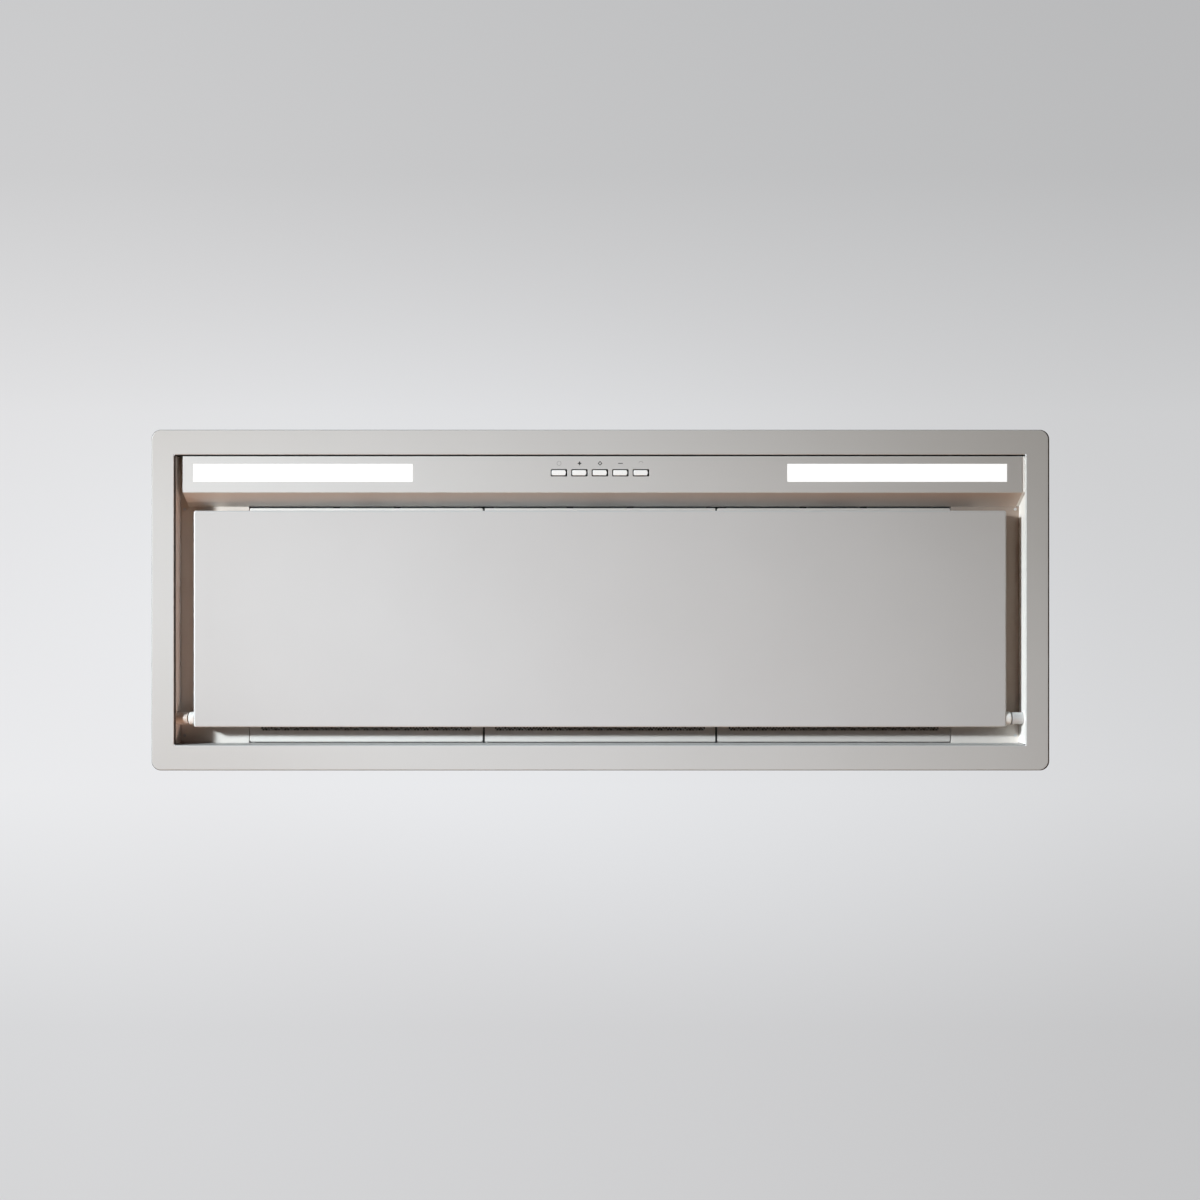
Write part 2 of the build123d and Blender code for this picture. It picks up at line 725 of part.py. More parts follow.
# Control board, on the guide's posts, with a switch over each button and two cable headers.
control_w = 2 * (post_dx + post_r + post_margin)
control_d = 2 * (post_dy + post_r + post_margin)
with BuildPart() as control_board:
    with BuildSketch(Plane.XY.offset(board_z)):
        with Locations((0, line_y)):
            Rectangle(control_w, control_d)
        with Locations(*post_spots):
            Circle(stud_r, mode=Mode.SUBTRACT)
    extrude(amount=control_t)
    with Locations(*[(x, line_y, board_z) for x in button_xs]):
        Box(switch_size, switch_size, switch_h - plunger_h, align=hanging)
        Cylinder(plunger_r, switch_h, align=hanging)
    for x in (-button_pitch, button_pitch):
        with Locations((x, line_y, board_z + control_t)):
            Box(header_w, header_d, header_h, align=standing)
        with Locations((x, line_y, board_z + control_t + header_wall)):
            Box(
                header_w - 2 * header_wall,
                header_d - 2 * header_wall,
                header_h,
                align=standing,
                mode=Mode.SUBTRACT,
            )
control_board.part.label = "control_board"
export_step(control_board.part, "parts/control_board.step")

# Board screws, one into each post.
with BuildPart() as board_screws:
    with Locations(*[(x, y, board_z + control_t) for x, y in post_spots]):
        Cylinder(post_r, board_screw_head_h, align=standing)
        Cylinder(stud_r - thread_clear, screw_l, align=hanging)
board_screws.part.label = "board_screws"
export_step(board_screws.part, "parts/board_screws.step")

# Suction panel, a shallow steel tray with its edges turned up and then in, bored near the rear for
# the hinge bushes.
with BuildPart() as suction_panel:
    with BuildSketch(Plane.XY.offset(panel_z)):
        with Locations((0, panel_y)):
            RectangleRounded(panel_w, panel_d, panel_corner_r)
    extrude(amount=panel_h)
    fillet(suction_panel.faces().sort_by(Axis.Z)[0].edges(), radius=panel_fold_r)
    with BuildSketch(Plane.XY.offset(panel_z + panel_t)):
        with Locations((0, panel_y)):
            RectangleRounded(panel_w - 2 * panel_t, panel_d - 2 * panel_t, panel_corner_r - panel_t)
    extrude(amount=panel_h - 2 * panel_t, mode=Mode.SUBTRACT)
    with BuildSketch(Plane.XY.offset(panel_top_z - panel_t)):
        with Locations((0, panel_y)):
            RectangleRounded(panel_w - 2 * panel_lip, panel_d - 2 * panel_lip, panel_corner_r)
    extrude(amount=panel_t, mode=Mode.SUBTRACT)
    with Locations(Plane.YZ):
        with Locations((hinge_y, hinge_z)):
            Cylinder(bush_neck_r + hole_clear, panel_w, align=centred, mode=Mode.SUBTRACT)
suction_panel.part.label = "suction_panel"
export_step(suction_panel.part, "parts/suction_panel.step")

# Panel stiffeners, two hat channels welded inside the tray along its length.
hat_l = panel_w - 2 * hat_end
hat_ys = [panel_y - panel_d / 4, panel_y + panel_d / 5]
hat_low_z = panel_z + panel_t
with BuildPart() as panel_stiffeners:
    with BuildSketch(Plane.YZ.offset(-hat_l / 2)):
        for y in hat_ys:
            with Locations((y, hat_low_z)):
                Rectangle(hat_w + 2 * hat_rim, panel_t, align=(Align.CENTER, Align.MIN))
                Rectangle(hat_w, hat_h, align=(Align.CENTER, Align.MIN))
                Rectangle(
                    hat_w - 2 * panel_t, hat_h - panel_t, align=(Align.CENTER, Align.MIN), mode=Mode.SUBTRACT
                )
    extrude(amount=hat_l)
panel_stiffeners.part.label = "panel_stiffeners"
export_step(panel_stiffeners.part, "parts/panel_stiffeners.step")

# Panel hinge. On each side a nylon bush is clipped through the panel's edge and turns on a steel
# pin, which stands on a sleeve against the skirt and is held outside by a nut.
pin_tip_x = panel_x - panel_t - bush_collar_l - pin_end
sleeve_x = panel_x + bush_l + groove
for name, side in sides:
    hinge_axis = Axis((0, hinge_y, hinge_z), (1, 0, 0))
    with BuildPart() as hinge_bush:
        with BuildSketch(Plane.XY.offset(hinge_z)):
            with Locations((side * (panel_x + bush_l / 2), hinge_y + bush_r / 2)):
                Rectangle(bush_l, bush_r)
            with Locations((side * (panel_x - panel_t / 2), hinge_y + bush_neck_r / 2)):
                Rectangle(panel_t, bush_neck_r)
            with Locations((side * (panel_x - panel_t - bush_collar_l / 2), hinge_y + bush_collar_r / 2)):
                Rectangle(bush_collar_l, bush_collar_r)
            with Locations((side * panel_x, hinge_y + (pin_r + pin_clear) / 2)):
                Rectangle(4 * bush_l, pin_r + pin_clear, mode=Mode.SUBTRACT)
        revolve(axis=hinge_axis)
        rims = hinge_bush.edges().filter_by(GeomType.CIRCLE).group_by(SortBy.RADIUS)[-1]
        fillet(rims.sort_by(Axis.X)[-1 if side > 0 else 0], radius=bush_r / 5)
    hinge_bush.part.label = f"hinge_bush_{name}"
    export_step(hinge_bush.part, f"parts/hinge_bush_{name}.step")

    with BuildPart() as hinge_stud:
        with BuildSketch(Plane.XY.offset(hinge_z)):
            with Locations((side * (sleeve_x + mouth_x) / 2, hinge_y + sleeve_r / 2)):
                Rectangle(mouth_x - sleeve_x, sleeve_r)
            with Locations((side * (pin_tip_x + sleeve_x) / 2, hinge_y + pin_r / 2)):
                Rectangle(sleeve_x - pin_tip_x, pin_r)
            thread_l = trim_t + hinge_nut_h + thread_end
            with Locations((side * (mouth_x + thread_l / 2), hinge_y + thread_r / 2)):
                Rectangle(thread_l, thread_r)
        revolve(axis=hinge_axis)
        tips = hinge_stud.edges().filter_by(GeomType.CIRCLE).sort_by(Axis.X)
        chamfer(tips[0 if side > 0 else -1], length=pin_r / 4)
    hinge_stud.part.label = f"hinge_stud_{name}"
    export_step(hinge_stud.part, f"parts/hinge_stud_{name}.step")

# Hinge nuts, outside the skirt.
with BuildPart() as hinge_nuts:
    for side in (-1, 1):
        with BuildSketch(Plane.YZ.offset(side * skirt_outer_x)):
            with Locations((hinge_y, hinge_z)):
                RegularPolygon(hinge_nut_r, 6)
                Circle(thread_r + hole_clear, mode=Mode.SUBTRACT)
        extrude(amount=side * hinge_nut_h)
hinge_nuts.part.label = "hinge_nuts"
export_step(hinge_nuts.part, "parts/hinge_nuts.step")

# Panel catches, a magnet in a moulded block on each side of the deck, over the panel's front lip.
catch_x = panel_x - catch_inset
catch_y = panel_front_y + panel_t + catch_d / 2
with BuildPart() as panel_catches:
    with BuildSketch(Plane.XY.offset(deck_z)):
        with Locations((-catch_x, catch_y), (catch_x, catch_y)):
            RectangleRounded(catch_w, catch_d, catch_d / 3)
    extrude(amount=-(deck_z - panel_top_z - catch_gap))
    chamfer(panel_catches.faces().group_by(Axis.Z)[0].edges(), length=catch_chamfer)
panel_catches.part.label = "panel_catches"
export_step(panel_catches.part, "parts/panel_catches.step")

# Casing, a folded sheet box welded over the skirt, with an opening for the blower and two pressed
# stiffening beads on each side of it.
with BuildPart() as casing:
    casing_h = casing_top_z - casing_bottom_z
    with BuildSketch(Plane.XY.offset(casing_bottom_z)):
        RectangleRounded(2 * casing_outer_x, 2 * casing_outer_y, casing_corner_r)
    extrude(amount=casing_h)
    fillet(casing.faces().sort_by(Axis.Z)[-1].edges(), radius=casing_corner_r / 2)
    with BuildSketch(Plane.XY.offset(casing_bottom_z)):
        RectangleRounded(2 * skirt_outer_x, 2 * skirt_outer_y, casing_corner_r - casing_t)
    extrude(amount=casing_h - casing_t, mode=Mode.SUBTRACT)
    with BuildSketch(Plane.XY.offset(casing_top_z - casing_t)):
        Rectangle(box_w - 2 * box_t - 2 * box_mouth_rim, box_d - 2 * box_t - 2 * box_mouth_rim)
    extrude(amount=casing_t, mode=Mode.SUBTRACT)
    bead_y = casing_outer_y - bead_edge
    bead_spots = [(x, y) for x in (-electrics_x, electrics_x) for y in (-bead_y, bead_y)]
    with BuildSketch(Plane.XY.offset(casing_top_z)):
        with Locations(*bead_spots):
            SlotOverall(bead_l, bead_w)
    extrude(amount=bead_h, taper=bead_taper)
    with BuildSketch(Plane.XY.offset(casing_top_z - casing_t)):
        with Locations(*bead_spots):
            SlotOverall(bead_l - casing_t, bead_w - casing_t)
    extrude(amount=bead_h, taper=bead_taper, mode=Mode.SUBTRACT)
    top_spots = rim_spots + band_spots + driver_spots + terminal_fix_spots
    with Locations(*[(x, y, casing_top_z) for x, y in top_spots]):
        Cylinder(screw_r + hole_clear, casing_t, align=hanging, mode=Mode.SUBTRACT)
    with Locations(*[Location((0, y, z), (0, 90, 0)) for y, z in clip_rivet_spots]):
        Cylinder(rivet_r + hole_clear, 2 * casing_outer_x, mode=Mode.SUBTRACT)
casing.part.label = "casing"
export_step(casing.part, "parts/casing.step")

# Blower box, a folded ring of sheet on the casing, with a rim turned out below.
with BuildPart() as blower_box:
    with BuildSketch(Plane.XY.offset(casing_top_z)):
        RectangleRounded(box_w, box_d, casing_corner_r)
    extrude(amount=box_h)
    with BuildSketch(Plane.XY.offset(casing_top_z)):
        RectangleRounded(box_w + 2 * box_rim, box_d + 2 * box_rim, casing_corner_r)
    extrude(amount=box_t)
    with BuildSketch(Plane.XY.offset(casing_top_z)):
        RectangleRounded(box_w - 2 * box_t, box_d - 2 * box_t, casing_corner_r - box_t)
    extrude(amount=box_h, mode=Mode.SUBTRACT)
    with Locations(*[(x, y, casing_top_z) for x, y in rim_spots]):
        Cylinder(screw_r + hole_clear, box_t, align=standing, mode=Mode.SUBTRACT)
blower_box.part.label = "blower_box"
export_step(blower_box.part, "parts/blower_box.step")

# The scroll's air passage, in the plane of the blower. Its quarter arcs grow by scroll_growth and
# swing about the corners of a small square, so that each runs smoothly into the next.
blower_plane = Plane((0, blower_y, blower_z), x_dir=(0, 1, 0), z_dir=(1, 0, 0))
blower_axis = Axis((0, blower_y, blower_z), (1, 0, 0))
half_step = scroll_growth / 2
first_r = wheel_r + scroll_gap - half_step
throat_right = half_step + first_r + 3 * scroll_growth
tip_y = -half_step + first_r * cos(radians(tongue_angle))
tip_z = half_step + first_r * sin(radians(tongue_angle))
throat_left = tip_y - throat_lean
throat_top = box_top_z - blower_z
throat_w = wheel_w + 2 * scroll_side_gap
throat_d = throat_right - throat_left
throat_y = blower_y + (throat_left + throat_right) / 2
scroll_x = throat_w / 2 + scroll_t
flange_x = scroll_x + scroll_flange / 2
flange_y = throat_d / 2 - scroll_flange / 2
flange_spots = [(x, throat_y + y) for x in (-flange_x, flange_x) for y in (-flange_y, flange_y)]
with BuildSketch(blower_plane) as scroll_air:
    with BuildLine():
        CenterArc((-half_step, half_step), first_r, tongue_angle, 90 - tongue_angle)
        CenterArc((-half_step, -half_step), first_r + scroll_growth, 90, 90)
        CenterArc((half_step, -half_step), first_r + 2 * scroll_growth, 180, 90)
        CenterArc((half_step, half_step), first_r + 3 * scroll_growth, 270, 90)
        Polyline(
            (throat_right, half_step),
            (throat_right, throat_top + scroll_t),
            (throat_left, throat_top + scroll_t),
            (tip_y, tip_z),
        )
    make_face()
    fillet(scroll_air.vertices().sort_by_distance((tip_y, tip_z))[0], radius=tongue_r)
scroll_skin = offset(scroll_air.sketch, amount=scroll_t)

# Blower scroll, a sheet housing with a curled inlet on each side and a flange round its throat.
mount_angles = [90, 210, 330]
mount_spots = [(mount_bolt_r * cos(radians(a)), mount_bolt_r * sin(radians(a))) for a in mount_angles]
with BuildPart() as blower_scroll:
    extrude(scroll_skin, amount=scroll_x, both=True)
    extrude(scroll_air.sketch, amount=throat_w / 2, both=True, mode=Mode.SUBTRACT)
    with Locations(blower_plane):
        Cylinder(inlet_r, 4 * scroll_x, mode=Mode.SUBTRACT)
    for side in (-1, 1):
        with BuildSketch(Plane.XY.offset(blower_z)):
            with Locations((side * (scroll_x - inlet_curl_r), blower_y + inlet_r)):
                Circle(inlet_curl_r)
                Circle(inlet_curl_r - scroll_t, mode=Mode.SUBTRACT)
                Rectangle(
                    inlet_curl_r,
                    inlet_curl_r,
                    align=(Align.MIN if side > 0 else Align.MAX, Align.MAX),
                    mode=Mode.INTERSECT,
                )
        revolve(axis=blower_axis)
    flange_w = throat_w + 2 * (scroll_t + scroll_flange)
    flange_d = throat_d + 2 * (scroll_t + scroll_flange)
    with Locations((0, throat_y, box_top_z)):
        Box(flange_w, flange_d, 4 * scroll_t, align=standing, mode=Mode.SUBTRACT)
    with BuildSketch(Plane.XY.offset(box_top_z)):
        with Locations((0, throat_y)):
            RectangleRounded(flange_w, flange_d, scroll_flange / 3)
            Rectangle(throat_w, throat_d, mode=Mode.SUBTRACT)
    extrude(amount=-scroll_t)
    with Locations(*[(x, y, box_top_z) for x, y in flange_spots]):
        Cylinder(screw_r + hole_clear, scroll_t, align=hanging, mode=Mode.SUBTRACT)
    with Locations(blower_plane.offset(-scroll_x)):
        with Locations(*mount_spots):
            Cylinder(screw_r + hole_clear, scroll_t, align=standing, mode=Mode.SUBTRACT)
blower_scroll.part.label = "blower_scroll"
export_step(blower_scroll.part, "parts/blower_scroll.step")

# Blower wheel, a steel disc on a hub with a ring of forward-curved blades on both sides of it and
# a ring at each end, bored for the shaft.
blade_mid_r = (wheel_r + wheel_inner_r) / 2
blade_out_r = wheel_r - wheel_ring_t / 3
blade_in_r = wheel_inner_r + wheel_ring_t / 3


def polar(radius, turn):
    """The point of the wheel's plane at this radius and this turn in degrees."""
    return (radius * cos(radians(turn)), radius * sin(radians(turn)))


def blade_face(shift):
    """The inner end, middle and outer end of a blade's face, shift degrees from its middle."""
    return [
        polar(blade_in_r, shift),
        polar(blade_mid_r, shift + blade_lead / 2 - blade_bow),
        polar(blade_out_r, shift + blade_lead),
    ]


with BuildPart(blower_plane) as blower_wheel:
    Cylinder(wheel_r, wheel_disc_t)
    Cylinder(hub_r, hub_l)
    with BuildSketch(blower_plane.offset(-wheel_w / 2)):
        with PolarLocations(0, blade_count):
            blade_turn = degrees(blade_t / 2 / blade_mid_r)
            with BuildLine():
                low = blade_face(-blade_turn)
                high = blade_face(blade_turn)
                ThreePointArc(*low)
                Line(low[2], high[2])
                ThreePointArc(*reversed(high))
                Line(high[0], low[0])
            make_face()
    extrude(amount=wheel_w)
    for x in (-(wheel_w - wheel_ring_t) / 2, (wheel_w - wheel_ring_t) / 2):
        with BuildSketch(blower_plane.offset(x)):
            Circle(wheel_r)
            Circle(wheel_inner_r, mode=Mode.SUBTRACT)
        extrude(amount=wheel_ring_t / 2, both=True)
    Cylinder(shaft_r, wheel_w, mode=Mode.SUBTRACT)
blower_wheel.part.label = "blower_wheel"
export_step(blower_wheel.part, "parts/blower_wheel.step")

# Motor, a steel can in the left inlet with a sloped and slotted end shield on each end, bored for
# its shaft.
motor_right_x = -(hub_l / 2 + motor_hub_gap)
motor_left_x = -(scroll_x + motor_out_l / 3)
motor_l = motor_right_x - motor_left_x
with BuildPart() as motor:
    with Locations(blower_plane.offset(motor_left_x)):
        Cylinder(motor_r, motor_l, align=standing)
    ends = motor.edges().filter_by(GeomType.CIRCLE)
    chamfer(ends, length=motor_dome, length2=motor_dome)
    fillet(motor.edges().filter_by(GeomType.CIRCLE).group_by(SortBy.RADIUS)[0], radius=motor_dome / 3)
    for x, out in ((motor_left_x, 1), (motor_right_x, -1)):
        with BuildSketch(blower_plane.offset(x)):
            with PolarLocations(motor_slot_r, motor_slot_count):
                SlotOverall(motor_slot_l, motor_dome / 2)
        extrude(amount=out * motor_dome / 2, mode=Mode.SUBTRACT)
    with Locations(blower_plane.offset(motor_left_x)):
        Cylinder(shaft_r + pin_clear, motor_l, align=standing, mode=Mode.SUBTRACT)
motor.part.label = "motor"
export_step(motor.part, "parts/motor.step")

# Motor shaft, a ground bar through the motor and the wheel's hub.
with BuildPart() as motor_shaft:
    with Locations(blower_plane.offset(motor_left_x - shaft_r)):
        Cylinder(shaft_r, hub_l / 2 + shaft_r * 2 - motor_left_x, align=standing)
    chamfer(motor_shaft.edges().filter_by(GeomType.CIRCLE), length=shaft_r / 5)
motor_shaft.part.label = "motor_shaft"
export_step(motor_shaft.part, "parts/motor_shaft.step")

# Motor mount, a clamp ring with three arms, each on a rubber bush against the scroll.
arm_x = -(scroll_x + mount_bush_l)
with BuildPart() as motor_mount:
    with BuildSketch(blower_plane.offset(arm_x)):
        Circle(motor_r + mount_ring_t)
        for spot, turn in zip(mount_spots, mount_angles):
            with Locations(Location((spot[0], spot[1], 0), (0, 0, turn))):
                SlotOverall(2 * (mount_bolt_r - motor_r), mount_arm_w)
        with Locations(*mount_spots):
            Circle(screw_r + hole_clear, mode=Mode.SUBTRACT)
    extrude(amount=-mount_arm_t)
    with BuildSketch(blower_plane.offset(arm_x)):
        Circle(motor_r + mount_ring_t)
    extrude(amount=-mount_ring_l)
    with BuildSketch(blower_plane.offset(arm_x)):
        Circle(motor_r)
    extrude(amount=-mount_ring_l, mode=Mode.SUBTRACT)
motor_mount.part.label = "motor_mount"
export_step(motor_mount.part, "parts/motor_mount.step")

# Motor bushes, grooved rubber rings that keep the motor's hum out of the scroll.
with BuildPart() as motor_bushes:
    with Locations(blower_plane.offset(-scroll_x)):
        with Locations(*mount_spots):
            Cylinder(mount_bush_r, mount_bush_l, align=hanging)
            Cylinder(screw_r + hole_clear, mount_bush_l, align=hanging, mode=Mode.SUBTRACT)
motor_bushes.part.label = "motor_bushes"
export_step(motor_bushes.part, "parts/motor_bushes.step")

# Outlet plate, the blower box's lid, with its edges turned down outside the box and a round hole
# over the scroll's throat.
collar_bore_r = collar_outer_r - collar_t
collar_y = throat_y
lid_x = box_w / 2 + hole_clear + lid_t
lid_y = box_d / 2 + hole_clear + lid_t
with BuildPart() as outlet_plate:
    with BuildSketch(Plane.XY.offset(lid_top_z)):
        RectangleRounded(2 * lid_x, 2 * lid_y, casing_corner_r + lid_t)
    extrude(amount=-lid_rim)
    fillet(outlet_plate.faces().sort_by(Axis.Z)[-1].edges(), radius=lid_t / 2)
    with BuildSketch(Plane.XY.offset(box_top_z)):
        RectangleRounded(2 * (lid_x - lid_t), 2 * (lid_y - lid_t), casing_corner_r)
    extrude(amount=lid_t - lid_rim, mode=Mode.SUBTRACT)
    with Locations((0, collar_y, lid_top_z)):
        Cylinder(collar_bore_r, lid_t, align=hanging, mode=Mode.SUBTRACT)
    with Locations(*[(x, y, lid_top_z) for x, y in flange_spots]):
        Cylinder(screw_r + hole_clear, lid_t, align=hanging, mode=Mode.SUBTRACT)
outlet_plate.part.label = "outlet_plate"
export_step(outlet_plate.part, "parts/outlet_plate.step")

# Outlet collar, a moulded ring on the plate that the duct slides over, with a stop bead, a hole on
# each side for the flap pin and two stops that the closed flaps lie on. The same four screws hold
# its flange, the plate and the scroll's flange.
collar_z = lid_top_z + collar_flange_t
collar_flange_r = hypot(flange_x, flange_y) + collar_flange_edge
flap_z = lid_top_z + flap_lift
with BuildPart() as outlet_collar:
    with Locations((0, collar_y, lid_top_z)):
        Cylinder(collar_flange_r, collar_flange_t, align=standing)
        Cylinder(collar_outer_r + collar_bead, collar_flange_t + collar_bead_h, align=standing)
        Cylinder(collar_outer_r, collar_flange_t + collar_h, align=standing)
    collar_rim = outlet_collar.edges().filter_by(GeomType.CIRCLE).sort_by(Axis.Z)[-1]
    chamfer(collar_rim, length=collar_t / 2)
    with Locations((0, collar_y, lid_top_z)):
        Cylinder(collar_bore_r, collar_flange_t + collar_h, align=standing, mode=Mode.SUBTRACT)
    with Locations((0, collar_y, flap_z - flap_t / 2)):
        stop_gap = 2 * (collar_bore_r - flap_stop_reach)
        Box(flap_stop_w, 2 * collar_bore_r + collar_t, flap_stop_h, align=hanging)
        Box(flap_stop_w, stop_gap, flap_stop_h, align=hanging, mode=Mode.SUBTRACT)
    with Locations(Location((0, collar_y, flap_z), (0, 90, 0))):
        Cylinder(flap_pin_r + pin_clear, 2 * collar_bore_r + collar_t, mode=Mode.SUBTRACT)
    with Locations(*[(x, y, lid_top_z) for x, y in flange_spots]):
        Cylinder(screw_r + hole_clear, collar_flange_t, align=standing, mode=Mode.SUBTRACT)
outlet_collar.part.label = "outlet_collar"
export_step(outlet_collar.part, "parts/outlet_collar.step")

# Flap pin, a steel rod across the collar.
with BuildPart() as flap_pin:
    with Locations(Location((0, collar_y, flap_z), (0, 90, 0))):
        Cylinder(flap_pin_r, 2 * collar_bore_r + collar_t)
flap_pin.part.label = "flap_pin"
export_step(flap_pin.part, "parts/flap_pin.step")

# Damper flaps, two half discs whose knuckles take turns along the pin. The front flap is the rear
# one turned half round about the collar's axis.
flap_r = collar_bore_r - flap_gap
knuckle_l = (2 * flap_r - 5 * knuckle_gap) / 4
knuckle_x = knuckle_l / 2 + knuckle_gap / 2
own_xs = [knuckle_x, knuckle_x - 2 * (knuckle_l + knuckle_gap)]
other_xs = [-knuckle_x, 2 * (knuckle_l + knuckle_gap) - knuckle_x]
for name, turn in (("rear", 0), ("front", 180)):
    collar_place = Location((0, collar_y, flap_z), (0, 0, turn))
    flap_plane = Plane(collar_place)
    with BuildPart() as flap:
        with BuildSketch(flap_plane.offset(-flap_t / 2)):
            Circle(flap_r)
            Rectangle(2 * flap_r, flap_r, align=(Align.CENTER, Align.MAX), mode=Mode.SUBTRACT)
            with Locations(*[(x, 0) for x in other_xs]):
                Rectangle(knuckle_l + 2 * knuckle_gap, 2 * flap_notch_r, mode=Mode.SUBTRACT)
        extrude(amount=flap_t)
        knuckle_spots = [Location((x, 0, 0), (0, 90, 0)) for x in own_xs]
        with Locations(flap_plane):
            with Locations(*knuckle_spots):
                Cylinder(knuckle_r, knuckle_l)
            with Locations(Location((0, 0, 0), (0, 90, 0))):
                Cylinder(flap_pin_r + pin_clear, 2 * flap_r, mode=Mode.SUBTRACT)
    flap.part.label = f"flap_{name}"
    export_step(flap.part, f"parts/flap_{name}.step")

# Terminal box on the casing's top, open above, bored on its outer side for the cable gland.
terminal_z = casing_top_z
gland_z = terminal_z + terminal_h / 2
terminal_out_x = electrics_x + terminal_w / 2
terminal_post_x = terminal_w / 2 - terminal_post_in
terminal_post_y = terminal_d / 2 - terminal_post_in
terminal_posts = [
    (electrics_x + i * terminal_post_x, terminal_y + j * terminal_post_y) for i in (-1, 1) for j in (-1, 1)
]
with BuildPart() as terminal_box:
    with BuildSketch(Plane.XY.offset(terminal_z)):
        with Locations((electrics_x, terminal_y)):
            RectangleRounded(terminal_w, terminal_d, 2 * terminal_wall)
    extrude(amount=terminal_h)
    with BuildSketch(Plane.XY.offset(terminal_z + terminal_wall)):
        with Locations((electrics_x, terminal_y)):
            RectangleRounded(terminal_w - 2 * terminal_wall, terminal_d - 2 * terminal_wall, terminal_wall)
    extrude(amount=terminal_h - terminal_wall, mode=Mode.SUBTRACT)
    with Locations(*[(x, y, terminal_z) for x, y in terminal_posts]):
        Cylinder(terminal_post_r, terminal_h, align=standing)
    with Locations(*[(x, y, terminal_z + terminal_h) for x, y in terminal_posts]):
        Cylinder(screw_r + hole_clear, screw_l + thread_end, align=hanging, mode=Mode.SUBTRACT)
    with Locations(*[(x, y, terminal_z) for x, y in terminal_fix_spots]):
        Cylinder(screw_r + hole_clear, terminal_wall, align=standing, mode=Mode.SUBTRACT)
    with Locations(Location((terminal_out_x, terminal_y, gland_z), (0, 90, 0))):
        Cylinder(gland_thread_r + hole_clear, 3 * terminal_wall, mode=Mode.SUBTRACT)
terminal_box.part.label = "terminal_box"
export_step(terminal_box.part, "parts/terminal_box.step")

# Terminal block, a moulded strip of three screw terminals on the box's floor.
with BuildPart() as terminal_block:
    with Locations((electrics_x, terminal_y, terminal_z + terminal_wall)):
        Box(block_w, block_d, block_h, align=standing)
    with Locations((electrics_x, terminal_y, terminal_z + terminal_wall + block_h)):
        with GridLocations(block_pitch, block_pitch, 3, 2):
            Cylinder(block_hole_r, block_hole_h, align=hanging, mode=Mode.SUBTRACT)
terminal_block.part.label = "terminal_block"
export_step(terminal_block.part, "parts/terminal_block.step")

# Terminal cover, a flat lid with a screw at each corner.
with BuildPart() as terminal_cover:
    with BuildSketch(Plane.XY.offset(terminal_z + terminal_h)):
        with Locations((electrics_x, terminal_y)):
            RectangleRounded(terminal_w, terminal_d, 2 * terminal_wall)
        with Locations(*terminal_posts):
            Circle(screw_r + hole_clear, mode=Mode.SUBTRACT)
    extrude(amount=terminal_cover_t)
    chamfer(terminal_cover.faces().sort_by(Axis.Z)[-1].outer_wire().edges(), length=terminal_cover_t / 3)
terminal_cover.part.label = "terminal_cover"
export_step(terminal_cover.part, "parts/terminal_cover.step")

# Cable gland, a moulded body with a hexagon and a domed clamping end, through the box's side, with
# its ring nut inside.
gland_l = gland_hex_l + gland_dome_l
gland_in_l = terminal_wall + gland_nut_l + thread_end
with BuildPart() as cable_gland:
    with BuildSketch(Plane((terminal_out_x, terminal_y, gland_z), z_dir=(1, 0, 0))):
        RegularPolygon(gland_hex_r, 6)
    extrude(amount=gland_hex_l)
    with Locations(Location((terminal_out_x, terminal_y, gland_z), (0, 90, 0))):
        Cylinder(gland_dome_r, gland_l, align=standing)
        Cylinder(gland_thread_r, gland_in_l, align=hanging)
    gland_rim = cable_gland.edges().filter_by(GeomType.CIRCLE).sort_by(Axis.X)[-1]
    fillet(gland_rim, radius=gland_dome_r / 3)
    with Locations(Location((terminal_out_x, terminal_y, gland_z), (0, 90, 0))):
        Cylinder(gland_bore_r, 4 * gland_l, mode=Mode.SUBTRACT)
    with BuildSketch(Plane((terminal_out_x - terminal_wall, terminal_y, gland_z), z_dir=(1, 0, 0))):
        RegularPolygon(gland_hex_r, 6)
        Circle(gland_thread_r + hole_clear, mode=Mode.SUBTRACT)
    extrude(amount=-gland_nut_l)
cable_gland.part.label = "cable_gland"
export_step(cable_gland.part, "parts/cable_gland.step")

# Run capacitor, a can hung under the casing's top in a sheet band with two screwed ears.
capacitor_z = under_z - capacitor_r - clip_band_t
with BuildPart() as run_capacitor:
    with Locations(Location((-electrics_x, capacitor_y, capacitor_z), (0, 90, 0))):
        Cylinder(capacitor_r, capacitor_l)
    fillet(run_capacitor.edges().filter_by(GeomType.CIRCLE), radius=capacitor_edge_r)
    with Locations((-electrics_x - capacitor_l / 2, capacitor_y, capacitor_z)):
        with Locations((0, -capacitor_r / 3, 0), (0, capacitor_r / 3, 0)):
            Box(spade_l, spade_t, spade_w, align=(Align.MAX, Align.CENTER, Align.CENTER))
run_capacitor.part.label = "run_capacitor"
export_step(run_capacitor.part, "parts/run_capacitor.step")

